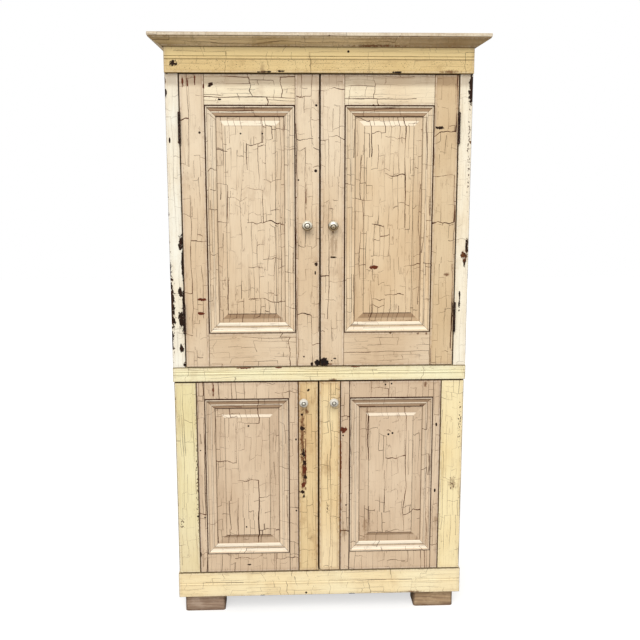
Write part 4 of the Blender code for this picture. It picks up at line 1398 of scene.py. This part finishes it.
@dataclass
class DrivenHead:
    """The heads of nails or, with a slot, of screws, where they stand out of a board or a leaf."""

    radius: float
    proud: float
    slot: float = 0.0
    depth: float = 0.0012

    def build(self, name: str, body: str, places: Sequence[Point], facing: Point, material: bpy.types.Material) -> None:
        """Shapes one head, and copies it to the other places.

        Args:
            name: the piece's name.
            body: the body that the heads move with.
            places: where they stand on the surface.
            facing: the way that the surface faces.
            material: their finish.
        """
        bench = Bench(name)
        out, start = Vector(facing), Vector(places[0])
        bpy.ops.mesh.primitive_cylinder_add(
            vertices=18, radius=self.radius, depth=self.depth, location=start + out * (self.proud - self.depth / 2),
            rotation=Vector((0, 0, 1)).rotation_difference(out).to_euler())
        bpy.ops.object.transform_apply(location=True, rotation=True, scale=True)
        bench.edit()
        bench.pick_faces(lambda middle, normal: normal.dot(out) > 0.9)
        bench.step_in([(0.0, 0.0), (self.radius * 0.2, self.proud * 0.25), (self.radius * 0.55, self.proud * 0.4)])
        if self.slot:
            for share in (-0.5, 0.5):
                bpy.ops.mesh.select_all(action="SELECT")
                bpy.ops.mesh.bisect(plane_co=start + Vector((0, 0, share * self.slot)), plane_no=(0, 0, 1))
            bench.pick_faces(lambda middle, normal: normal.dot(out) > 0.7 and abs(middle.z - start.z) < self.slot / 2)
            bpy.ops.mesh.extrude_region_move(TRANSFORM_OT_translate={"value": out * -0.0004})
        bench.rest()
        heads = [bench.piece]
        for place in places[1:]:
            bpy.ops.object.duplicate()
            bpy.ops.transform.translate(value=Vector(place) - start)
            bpy.ops.object.transform_apply(location=True, rotation=True, scale=True)
            heads.append(bench.piece)
            start = Vector(place)
        for head in heads:
            head.select_set(True)
        bpy.ops.object.join()
        bench.piece.name = name
        bench.finish(body, material)

    def build_rows(self, finish: str, name: str, body: str, middle: Point, facing: float, seed: float) -> None:
        """Drives a row of three into one leaf of a hinge.

        Args:
            finish: the name of their finish.
            name: the piece's name.
            body: the body that they move with.
            middle: where the middle one stands.
            facing: the side that the leaf faces, -1 or 1.
            seed: sets their rust.
        """
        x, y, z = middle
        self.build(name, body, [(x, y, z + step) for step in (-SCREW_STEP, 0.0, SCREW_STEP)], (facing, 0.0, 0.0),
                   IRON.coat(finish, seed))


BACK_NAIL = DrivenHead(0.0034, 0.0006)
SIDE_NAIL = DrivenHead(0.0028, 0.0003)
LEAF_SCREW = DrivenHead(0.0032, 0.0003, slot=0.0008, depth=0.0008)
SCREW_DEPTH = -0.1868
SCREW_STEP = 0.036


@dataclass
class PanelWork:
    """The raised panel of a door and the moulding round it, a little finer than the frame's."""

    door: str
    face: float
    width: float = 0.036
    proud: float = 0.0015
    rim: float = 0.007
    cove: float = 0.012
    cove_drop: float = 0.006
    fillet: float = 0.005
    setback: float = 0.0105
    edge: float = 0.0008
    tongue: float = 0.0054
    margin: float = 0.0125
    slope: float = 0.0165
    rise: float = 0.0052
    step: float = 0.0014
    thickness: float = 0.0074

    def inside(self, marks: Sequence[Mark]) -> list[Mark]:
        """The marks that lie on this panel."""
        low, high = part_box(f"{self.door}_panel")
        return [mark for mark in marks if low.x < mark.x < high.x and low.z < mark.z < high.z]

    def section(self) -> list[tuple[float, float]]:
        """Draws the moulding's section.

        Returns:
            Its points: how far in from its outer edge, and how far out from the frame's face.
        """
        shelf, face = self.proud - self.cove_drop, self.proud - 0.0006
        run = [(0.0, self.proud - 0.0009), (0.0009, self.proud), (self.rim - 0.0006, self.proud), (self.rim, face)]
        middle = self.rim + self.cove
        for number in range(1, 9):
            turn = math.radians(90 * number / 8)
            run.append((middle - self.cove * math.cos(turn), face - (self.cove_drop - 0.0006) * math.sin(turn)))
        end = middle + self.fillet
        run += [(end - 0.0005, shelf), (end, shelf - 0.0003)]
        low, reach = self.edge - self.setback, self.width - 0.0003 - end
        for number in range(1, 11):
            turn = math.radians(90 * number / 10)
            run.append((end + reach * math.sin(turn), low + (shelf - 0.0003 - low) * math.cos(turn)))
        return run

    def build_moulding(self, body: str, material: bpy.types.Material, slot: str) -> None:
        """Steps a box's front in along the section, and cuts its middle out.

        Args:
            body: the body that it moves with.
            material: its finish.
            slot: not used; it is only handed on to Bench.finish.
        """
        node = f"{self.door}_moulding"
        low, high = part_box(node)
        section = self.section()
        front, back = self.face - section[0][1], self.face + self.setback
        bench = Bench(f"{self.door}_panel_moulding")
        bench.block((low.x, front, low.z), (high.x, back, high.z))
        bench.edit()
        bench.pick_faces(lambda middle, normal: normal.y < -0.9)
        bench.step_in(section)
        bench.pick_faces(lambda middle, normal: normal.y > 0.9)
        bench.step_in([(0.0, 0.0), (self.width, 0.0)])
        inner_low, inner_high = low.x + self.width - 0.001, high.x - self.width + 0.001
        bench.pick_faces(lambda middle, normal: abs(normal.y) > 0.9 and inner_low < middle.x < inner_high
                         and low.z + self.width < middle.z < high.z - self.width)
        bpy.ops.mesh.delete(type="ONLY_FACE")
        bpy.ops.mesh.select_mode(type="EDGE")
        bench.pick_edges(lambda middle, is_open: is_open)
        bpy.ops.mesh.bridge_edge_loops()
        bpy.ops.mesh.select_all(action="SELECT")
        bpy.ops.mesh.normals_make_consistent(inside=False)
        bench.rest()
        bench.finish(body, material, (node,), slot, 28.0)
        LOG.info("%s moulding built", self.door)

    def build_panel(self, body: str, material: bpy.types.Material, slot: str) -> None:
        """Raises a box's front by a flat margin, a slope and a small step.

        Args:
            body: the body that it moves with.
            material: its finish.
            slot: not used; it is only handed on to Bench.finish.
        """
        node = f"{self.door}_panel"
        low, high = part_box(node)
        margin_end = self.tongue + self.width + self.margin
        front = high.y - self.thickness
        bench = Bench(f"{self.door}_raised_panel")
        bench.block((low.x, front, low.z), (high.x, high.y, high.z))
        bench.edit()
        bench.pick_faces(lambda middle, normal: normal.y < -0.9)
        bench.step_in([
            (0.0, 0.0), (self.tongue + self.width, 0.0), (margin_end - 0.001, self.rise * 0.14),
            (margin_end, self.rise * 0.2), (margin_end + self.slope - 0.0012, self.rise * 0.93),
            (margin_end + self.slope, self.rise), (margin_end + self.slope + 0.0006, self.rise + self.step * 0.75),
            (margin_end + self.slope + 0.0016, self.rise + self.step),
        ])
        bench.rest()
        bench.finish(body, material, (node,), slot, 8.0)
        LOG.info("%s panel built", self.door)


# Sub-assemblies


class Side(Enum):
    """Left or right, as the front shows them."""

    LEFT = -1
    RIGHT = 1

    @property
    def word(self) -> str:
        """The side's name in the frame."""
        return self.name.lower()


def dress(node: str, finish: Any, *how: Any, **more: Any) -> None:
    """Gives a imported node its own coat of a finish.

    Args:
        node: the node.
        finish: the finish.
        how: what the finish's coat takes after the node's name.
        more: what else it takes, by name.
    """
    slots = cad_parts[node].data.materials
    slots.clear()
    slots.append(finish.coat(node, *how, **more))


def lying_on(spots: Sequence[Mark], node: str) -> list[Mark]:
    """The marks that lie on a node's front."""
    low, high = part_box(node)
    return [mark for mark in spots if low.x <= mark.x <= high.x and low.z <= mark.z <= high.z]


def bead_seams(bead_low: float, share: float, bead_width: float = 0.008, half: float = 0.51) -> list[Seam]:
    """The two dark quirks beside a level bead.

    Args:
        bead_low: the bead's lower edge.
        share: how dark they are.
        bead_width: the bead's width.
        half: half the length of the quirks.

    Returns:
        Their lines.
    """
    return [
        Seam(False, bead_low - 0.001, -half, half, 0.0018, share),
        Seam(False, bead_low + bead_width + 0.001, -half, half, 0.0016, share * 0.8),
    ]


@dataclass
class Case:
    """The standing case: sides, shelves, back, front boards, cornice and feet."""

    side_inner: float = 0.482
    stile_inner: float = 0.4588
    ridge: float = 0.0018
    hinge_heights: Sequence[float] = (1.069, 1.698)
    nail_heights: Sequence[float] = (0.147, 0.524, 0.890, 1.222, 1.532, 1.960)
    frieze_bead: float = 1.914
    waist_bead: float = 0.875
    base_bead: float = 0.108
    back_boards: int = 5
    leaf_face: float = 0.4573
    leaf_half: float = 0.0515
    half_width: float = 0.5
    nail_depths: Sequence[float] = (-0.13, 0.04, 0.21)
    back_nails: Sequence[float] = (0.2, 0.8)
    ridge_low: float = 0.9035
    ridge_high: float = 1.8675
    ridge_depth: float = 0.009
    shelves: Sequence[str] = ("bottom_board", "lower_shelf", "waist_deck", "upper_shelf_low", "upper_shelf_high")
    feet: Sequence[str] = ("front_left_foot", "front_right_foot", "back_left_foot", "back_right_foot")
    left_stile_marks: Sequence[Mark] = marks({
        Harm.CHIP: [(-463, 1326, 8, 26), (-459, 1253, 3, 55), (-467.5, 1157, 8, 17), (-459, 1140, 3, 30),
            (-467, 1068, 10, 30), (-468, 967, 7, 12), (-460, 910, 4, 6), (-501, 1132, 12, 84),
            (-500, 1066, 13, 26), (-501, 1236, 6, 30), (-501, 995, 6, 41), (-498, 1806, 5, 13)],
        Harm.NAIL: [(-489, 1658, 3, 10)],
        Harm.SPECKS: [(-496, 1100, 8, 260)],
    })
    right_stile_marks: Sequence[Mark] = marks({
        Harm.CHIP: [(495, 1825, 8, 51), (493.5, 1308, 4.5, 24), (487, 1281, 10, 11), (479, 1277, 7, 6),
            (488, 1258, 5, 17), (474, 1125, 3, 35)],
        Harm.RUST: [(485, 1276, 15, 24)],
        Harm.SPECKS: [(492, 1620, 8, 240)],
    })
    frieze_marks: Sequence[Mark] = marks({
        Harm.CHIP: [(-469, 1899, 9.5, 9.3), (-180, 1874, 22, 3), (-130, 1876, 12, 3), (250, 1874, 14, 3)],
        Harm.NAIL: [(91, 1938, 4, 4)],
        Harm.DRIP: [(-185, 1880, 10, 28)],
        Harm.RUST: [(420, 1876, 40, 6)],
    })
    crown_marks: Sequence[Mark] = marks({
        Harm.DRIP: [(380, 1965, 300, 60)],
        Harm.RUST: [(180, 1955, 110, 4)],
    })
    waist_marks: Sequence[Mark] = marks({
        Harm.RUST: [(43, 854.5, 18, 6)],
        Harm.REDDISH: [(-255, 898.5, 26, 3), (-140, 898.5, 12, 3), (120, 898.5, 16, 2)],
    })
    base_marks: Sequence[Mark] = marks({
        Harm.NAIL: [(-50, 74.5, 4, 4)],
        Harm.CHIP: [(-205, 67.5, 10, 3), (110, 67.5, 14, 2)],
        Harm.RUST: [(330, 70, 50, 4)],
    })

    def dress(self) -> None:
        """Paints the outside and leaves the inside bare."""
        for side, paint, spots in ((Side.LEFT, CREAM_PAINT, self.left_stile_marks),
                                   (Side.RIGHT, WARM_CREAM, self.right_stile_marks)):
            bare = BareSide(side.value * self.side_inner, side is Side.LEFT)
            dress(f"{side.word}_side", SIDE_PAINT, Grain.UPRIGHT, 3.0 + side.value, bare=bare)
            dress(f"{side.word}_corner_stile", paint, Grain.UPRIGHT, 11.0 + side.value, spots,
                  grow=-side.value * self.ridge)
            for place in ("low", "high"):
                dress(f"upper_{side.word}_{place}_case_leaf", IRON, 71.0 + side.value)
            for place in ("top", "bottom"):
                dress(f"lower_{side.word}_{place}_pivot", IRON, 75.0 + side.value)
            dress(f"crown_{side.word}", CORNICE_PAINT, Grain.DEEP, 32.5 + side.value / 2)
        for node, paint, seed, spots, bead, share in (
            ("frieze_board", FRIEZE_PAINT, 21.0, self.frieze_marks, self.frieze_bead, 0.5),
            ("waist_rail", WAIST_PAINT, 22.0, self.waist_marks, self.waist_bead, 0.35),
            ("base_rail", BASE_PAINT, 23.0, self.base_marks, self.base_bead, 0.18),
        ):
            dress(node, paint, Grain.LEVEL, seed, spots, bead_seams(bead, share))
        dress("crown_front", CORNICE_PAINT, Grain.LEVEL, 31.0, self.crown_marks)
        dress("cornice_top", LIP_PAINT, Grain.LEVEL, 34.0)
        for number, node in enumerate(self.shelves):
            dress(node, INSIDE_WOOD, Grain.LEVEL, 41.0 + number)
        dress("back_panel", BACK_WOOD, Grain.UPRIGHT, 51.0, boards=self.back_boards)
        for number, node in enumerate(self.feet):
            dress(node, TAN_FOOT if node == "front_right_foot" else FOOT_WOOD, Grain.LEVEL, 61.0 + number)
        LOG.info("case dressed")

    def build(self) -> None:
        """Adds the paint's ridges beside the upper doors, the nails and the screws of the hinges."""
        for side in Side:
            self.build_ridges(side)
            for place, height in zip(("low", "high"), self.hinge_heights):
                LEAF_SCREW.build_rows(
                    f"{side.word}_{place}_case_screws", f"upper_{side.word}_{place}_case_screws", "case",
                    (side.value * self.leaf_face, SCREW_DEPTH, height), -side.value, 79.0)
            name = f"{side.word}_side_nails"
            spots = [(side.value * self.half_width, y, z) for z in self.nail_heights for y in self.nail_depths]
            SIDE_NAIL.build(name, "case", spots, (side.value, 0.0, 0.0), IRON.coat(name, 81.0))
        low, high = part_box("back_panel")
        spots = []
        for board in range(self.back_boards):
            for share in self.back_nails:
                x = low.x + (high.x - low.x) * (board + share) / self.back_boards
                spots += [(x, high.y, z + 0.002 * math.sin(x * 40.0 + z * 9.0)) for z in self.nail_heights]
        BACK_NAIL.build("back_nails", "case", spots, (0.0, 1.0, 0.0), IRON.coat("back_nails", 83.0))
        LOG.info("nails and screws driven")

    def build_ridges(self, side: Side) -> None:
        """Models the thick paint that stands on a corner stile's inner edge, between the hinges.

        Args:
            side: which stile.
        """
        node = f"{side.word}_corner_stile"
        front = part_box(node)[0].y
        ends = [self.ridge_low]
        for height in self.hinge_heights:
            ends += [height - self.leaf_half, height + self.leaf_half]
        ends.append(self.ridge_high)
        for number, (bottom, top) in enumerate(zip(ends[::2], ends[1::2])):
            inner, outer = side.value * (self.stile_inner - self.ridge), side.value * self.stile_inner
            bench = Bench(f"{side.word}_paint_ridge_{number}")
            bench.block((min(inner, outer), front + 0.0004, bottom), (max(inner, outer), front + self.ridge_depth, top))
            bench.edit("EDGE")
            bench.pick_edges(lambda middle, is_open: abs(middle.x - inner) < 0.0001)
            bpy.ops.mesh.bevel(offset=0.0006, segments=3)
            bench.rest()
            bench.finish("case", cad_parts[node].data.materials[0])


@dataclass
class Door:
    """What every door has: a raised panel in a moulding, marks and a side."""

    tier: ClassVar[str] = ""

    side: Side
    paint: Paint
    marks: Sequence[Mark]
    seed: float

    @property
    def label(self) -> str:
        """How the names of its nodes start."""
        return f"{self.tier}_{self.side.word}"

    @property
    def body(self) -> str:
        """The body that it moves with."""
        return f"{self.label}_door"

    def build_panel(self, work: PanelWork, field: Paint, slot: str) -> None:
        """Models the panel and its moulding.

        Args:
            work: their sizes.
            field: their paint.
            slot: not used; it is only handed on to PanelWork.
        """
        panel, moulding = f"{self.label}_panel", f"{self.label}_moulding"
        work.build_panel(self.body, field.panel_coat(panel, self.seed + 9.0, work, work.inside(self.marks)), slot)
        work.build_moulding(self.body, field.moulding_coat(moulding, self.seed + 12.0, work), slot)


@dataclass
class UpperDoor(Door):
    """One upper door: a joined frame round a raised panel."""

    tier: ClassVar[str] = "upper"

    hinge_paint: Paint
    field: Paint
    leaf_face: float = 0.4558
    knob_droop: float = 0.0
    knob_beside: float = 0.043
    knob_height: float = 1.3816
    face: float = -0.19365

    def dress(self) -> None:
        """Paints the frame and finishes the hinges."""
        for number, (part, paint, grain) in enumerate((
            ("hinge_stile", self.hinge_paint, Grain.UPRIGHT), ("meeting_stile", self.paint, Grain.UPRIGHT),
            ("top_rail", RAIL_PAINT, Grain.LEVEL), ("bottom_rail", self.paint, Grain.LEVEL),
        )):
            node = f"{self.label}_{part}"
            dress(node, paint, grain, self.seed + number * 2.0, lying_on(self.marks, node))
        for place in ("low", "high"):
            node = f"{self.label}_{place}_door_leaf"
            dress(node, IRON, self.seed)
            low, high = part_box(node)
            name = f"{self.label}_{place}_door_screws"
            middle = (self.side.value * self.leaf_face, SCREW_DEPTH, (low.z + high.z) / 2)
            LEAF_SCREW.build_rows(name, name, self.body, middle, self.side.value, self.seed)
        LOG.info("%s dressed", self.body)

    def build(self) -> None:
        """Models the panel, its moulding and the knob."""
        self.build_panel(PanelWork(self.label, self.face), self.field, "beige_paint")
        place = (self.side.value * self.knob_beside, self.face, self.knob_height)
        droop = math.radians(self.knob_droop)
        node = f"{self.label}_knob"
        plate = WornPlate().coat(node, self.seed, place, (0.0, -math.cos(droop), -math.sin(droop)))
        METAL_KNOB.build(f"{self.label}_turned_knob", self.body, place, plate, node, "aged_nickel", self.knob_droop)


@dataclass
class LowerDoor(Door):
    """One lower door: two boards beside a glued frame round a raised panel."""

    tier: ClassVar[str] = "lower"

    outer: Paint
    inner: Paint
    seams: Sequence[Seam]
    knob_at: float
    knob_height: float = 0.777
    face: float = -0.19735

    def dress(self) -> None:
        """Paints the boards and the frame."""
        for part, paint, shift, seams in (
            ("outer_board", self.outer, 0.0, ()), ("inner_board", self.inner, 2.0, ()),
            ("frame", self.paint, 5.0, self.seams),
        ):
            node = f"{self.label}_{part}"
            dress(node, paint, Grain.UPRIGHT, self.seed + shift, lying_on(self.marks, node), seams)
        LOG.info("%s dressed", self.body)

    def build(self) -> None:
        """Models the panel, its moulding, the knob and the knob's screw."""
        self.build_panel(PanelWork(self.label, self.face, margin=0.0215, slope=0.0100), self.paint,
                         "greyed_beige_paint")
        place = (self.knob_at, self.face, self.knob_height)
        node = f"{self.label}_knob"
        CHINA_KNOB.build(f"{self.label}_china_knob", self.body, place, Glaze().coat(node, self.seed, place), node,
                         "white_china")
        tip = (self.knob_at, self.face - 0.85 * CHINA_KNOB.reach, self.knob_height)
        screw = Bench(f"{self.label}_knob_screw")
        screw.turned(tip, CHINA_SCREW.run(), 24)
        screw.finish(self.body, WornPlate().coat(f"{self.label}_screw", self.seed + 1.0, tip, (0.0, -4.0, 0.0)),
                     slot="aged_nickel")


@dataclass
class Studio:
    """The photograph's camera, a pale floor and plain soft light."""

    eye: Point = (-0.129, -3.19365, 1.592)
    lens: float = 50.625
    pitch: float = math.radians(10.02)
    yaw: float = math.radians(-2.46)
    roll: float = math.radians(-0.02)
    sky: float = 0.6
    sun: float = 2.02
    sun_spread: float = math.radians(44)
    sun_lean: float = math.radians(50)
    sun_turn: float = math.radians(-9)
    floor_share: float = 0.4
    floor_half: float = 9.0

    def camera(self) -> None:
        """Sets the camera up as the photograph was taken."""
        lean, tip = Matrix.Rotation(self.roll, 3, "Y"), Matrix.Rotation(self.pitch, 3, "X")
        right, ahead, up = lean @ tip @ Matrix.Rotation(-self.yaw, 3, "Z")
        stand = Matrix((right, up, -ahead)).transposed().to_4x4()
        stand.translation = Vector(self.eye)
        bpy.ops.object.camera_add()
        seen = bpy.context.object
        seen.name = "photo_camera"
        seen.matrix_world = stand
        seen.data.lens = self.lens
        seen.data.sensor_width = 36.0
        seen.data.clip_end = 60.0
        bpy.context.scene.camera = seen

    def world(self) -> None:
        """Lights evenly from all round, and shows white behind the object."""
        world = bpy.data.worlds.new("studio")
        world.use_nodes = True
        bpy.context.scene.world = world
        world.node_tree.nodes.clear()
        graph = Graph("studio", world.node_tree)
        path = graph.node("ShaderNodeLightPath", {}, {}).outputs
        seen = graph.maths("MAXIMUM", path["Is Camera Ray"], path["Is Glossy Ray"])
        seen = seen.most(path["Is Transmission Ray"])
        light = graph.node("ShaderNodeBackground", {}, {"Color": (1.0, 0.985, 0.96), "Strength": self.sky})
        white = graph.node("ShaderNodeBackground", {}, {"Color": (1.0, 1.0, 1.0)})
        both = graph.node("ShaderNodeMixShader", {}, {0: seen, 1: light.outputs[0], 2: white.outputs[0]})
        graph.node("ShaderNodeOutputWorld", {}, {"Surface": both.outputs[0]})

    def lamp(self) -> None:
        """Hangs one wide soft lamp above the camera's left."""
        bpy.ops.object.light_add(type="SUN", location=(-1.2, -3.0, 3.6), rotation=(self.sun_lean, 0, self.sun_turn))
        lamp = bpy.context.object
        lamp.name = "soft_lamp"
        lamp.data.energy = self.sun
        lamp.data.angle = self.sun_spread
        lamp.data.color = (1.0, 0.985, 0.955)

    def floor(self) -> None:
        """Lays the pale floor, which the camera sees white but for the shadow."""
        bpy.ops.mesh.primitive_plane_add(size=2 * self.floor_half, location=(0, 0, 0))
        floor = bpy.context.object
        floor.name = "studio_floor"
        graph = Graph("studio_floor")
        cloud = graph.noise(graph.place().x * 3.0, graph.place().y * 3.0, 0.0, 2.0)
        dull = graph.node("ShaderNodeBsdfDiffuse", {}, {"Color": (self.floor_share,) * 3})
        plain = graph.node("ShaderNodeBsdfDiffuse", {}, {
            "Color": graph.mix(cloud, tone(196, 196, 196), tone(202, 202, 202))})
        glow = graph.node("ShaderNodeEmission", {}, {"Color": (0.6, 0.6, 0.6), "Strength": 1.0})
        shown = graph.node("ShaderNodeAddShader", {}, {0: plain.outputs[0], 1: glow.outputs[0]})
        path = graph.node("ShaderNodeLightPath", {}, {})
        both = graph.node("ShaderNodeMixShader", {}, {
            0: path.outputs["Is Camera Ray"], 1: dull.outputs[0], 2: shown.outputs[0]})
        graph.node("ShaderNodeOutputMaterial", {}, {"Surface": both.outputs[0]})
        floor.data.materials.append(graph.material)

    def build(self) -> None:
        """Sets up camera, light and floor."""
        self.camera()
        self.world()
        self.lamp()
        self.floor()
        bpy.context.scene.view_settings.view_transform = "Standard"
        LOG.info("studio ready")


UPPER_LEFT_MARKS = marks({
    Harm.CHIP: [(-353, 1835, 10, 6), (-12.5, 1252, 6, 6), (-28, 910, 4, 9)],
    Harm.REDDISH: [(-443, 1844, 3, 16), (-428, 1844, 3, 16), (-404, 1847, 3, 16), (-376, 1830, 3, 8),
        (-395, 1134, 17, 5), (-401, 1087, 10, 5)],
    Harm.NAIL: [(-392, 1683, 4, 4), (-325, 1788, 6, 3), (-12, 1770, 4, 4), (-14, 1560, 5.2, 5.2),
        (-71, 1530, 3, 3), (-16, 1222, 2.6, 7), (-55, 935, 3, 3), (-259, 1680, 3, 3), (-188, 1680, 3, 3)],
    Harm.RUST: [(-46, 1470, 3, 60)],
    Harm.SOOT: [(-9, 912, 10, 13)],
})
UPPER_RIGHT_MARKS = marks({
    Harm.RUST: [(428, 1214, 12, 8), (333, 1012, 5, 6), (364, 1012, 5, 6), (44, 1362, 3.5, 10), (30, 908, 30, 4)],
    Harm.REDDISH: [(182, 1239, 13.5, 7)],
    Harm.CHIP: [(393, 1700, 13, 5), (45, 1274, 10, 3), (50, 928, 5, 3)],
    Harm.DRIP: [(41, 1320, 10, 55), (53, 1312, 6, 48)],
    Harm.SOOT: [(14, 915, 15, 18)],
    Harm.NAIL: [(40, 920, 2.5, 2.5)],
})
LOWER_LEFT_MARKS = marks({
    Harm.SPECKS: [(-484, 340, 14, 32), (-426.5, 500, 6, 340), (-60, 640, 13, 150), (-56, 520, 13, 110),
        (-66, 620, 6, 150)],
    Harm.RUST: [(-365.5, 822, 5, 30), (-61, 650, 9, 150), (-57, 520, 11, 110), (-47, 743, 10, 14)],
    Harm.REDDISH: [(-365.5, 824, 2.4, 20), (-50, 560, 2, 110), (-54, 535, 8, 16), (-58, 478, 7, 10)],
    Harm.CHIP: [(-496.5, 528, 3, 6), (-496.5, 797, 3, 5), (-428, 368, 5, 3), (-251.3, 184, 6, 3),
        (-58, 592, 6, 12), (-55, 558, 7, 9), (-52, 508, 6, 8), (-60, 452, 8, 7), (-56, 436, 4, 6),
        (-40, 819, 5, 5), (-62, 732, 5, 4), (-61, 682, 10, 7)],
    Harm.NAIL: [(-403, 363, 3, 3), (-83.5, 643, 3, 4), (-83.5, 383, 3, 3), (-413, 608), (-420, 226, 2.2, 9),
        (-494, 792), (-247, 692, 3.2, 3.2), (-259, 324, 3, 3)],
})
LOWER_RIGHT_MARKS = marks({
    Harm.REDDISH: [(81, 676, 12, 11), (71.5, 560, 3, 80)],
    Harm.RUST: [(70, 450, 4, 250), (363, 835, 7, 12)],
    Harm.SPECKS: [(466, 474, 18, 34), (486, 700, 12, 100), (26, 389, 12, 28)],
    Harm.NAIL: [(404, 690, 3.4, 7), (404, 450, 3.4, 7), (225, 835, 3, 3), (246, 838, 3, 3), (238, 656, 3.8, 3.8),
        (252, 660, 3.8, 3.8), (80, 655, 3, 3), (91, 401, 3, 3)],
    Harm.DRIP: [(466, 474, 16, 30), (411, 340, 12, 26), (85, 300, 12, 28), (160, 320, 12, 35)],
})
LOWER_LEFT_SEAMS = (
    Seam(True, -0.4229, 0.160, 0.847, 0.0030),
    Seam(True, -0.0751, 0.160, 0.847, 0.0026),
    Seam(True, -0.3967, 0.790, 0.850, 0.0014),
    Seam(True, -0.3967, 0.150, 0.226, 0.0012, 0.8),
    Seam(True, -0.1063, 0.790, 0.850, 0.0008, 0.5),
    Seam(True, -0.1063, 0.150, 0.226, 0.0012, 0.8),
)
LOWER_RIGHT_SEAMS = (
    Seam(True, 0.0701, 0.160, 0.847, 0.0030),
    Seam(True, 0.4179, 0.160, 0.847, 0.0028),
    Seam(True, 0.1013, 0.790, 0.850),
    Seam(True, 0.1013, 0.150, 0.226, 0.0012, 0.8),
    Seam(True, 0.3917, 0.790, 0.850, 0.001, 0.6),
    Seam(True, 0.3917, 0.150, 0.226, 0.0012, 0.8),
)


def main() -> None:
    """Builds and dresses every sub-assembly, then the studio."""
    logging.basicConfig(level=logging.INFO, format="%(name)s: %(message)s")
    case = Case()
    case.dress()
    case.build()
    for door in (
        UpperDoor(Side.LEFT, UPPER_PAINT, UPPER_LEFT_MARKS, 100.0, UPPER_PAINT, UPPER_FIELD),
        UpperDoor(Side.RIGHT, UPPER_PAINT, UPPER_RIGHT_MARKS, 130.0, TANNED_PAINT, RIGHT_FIELD, knob_droop=17.0,
                  knob_height=1.3870),
        LowerDoor(Side.LEFT, LOWER_PAINT, LOWER_LEFT_MARKS, 160.0, GREEN_PAINT, STAINED_PAINT, LOWER_LEFT_SEAMS,
                  -0.057),
        LowerDoor(Side.RIGHT, LOWER_PAINT, LOWER_RIGHT_MARKS, 190.0, BOARD_PAINT, PALE_STAINED,
                  LOWER_RIGHT_SEAMS, 0.047),
    ):
        door.dress()
        door.build()
    Studio().build()
    LOG.info("sizes written")


if __name__ == "__main__":
    main()
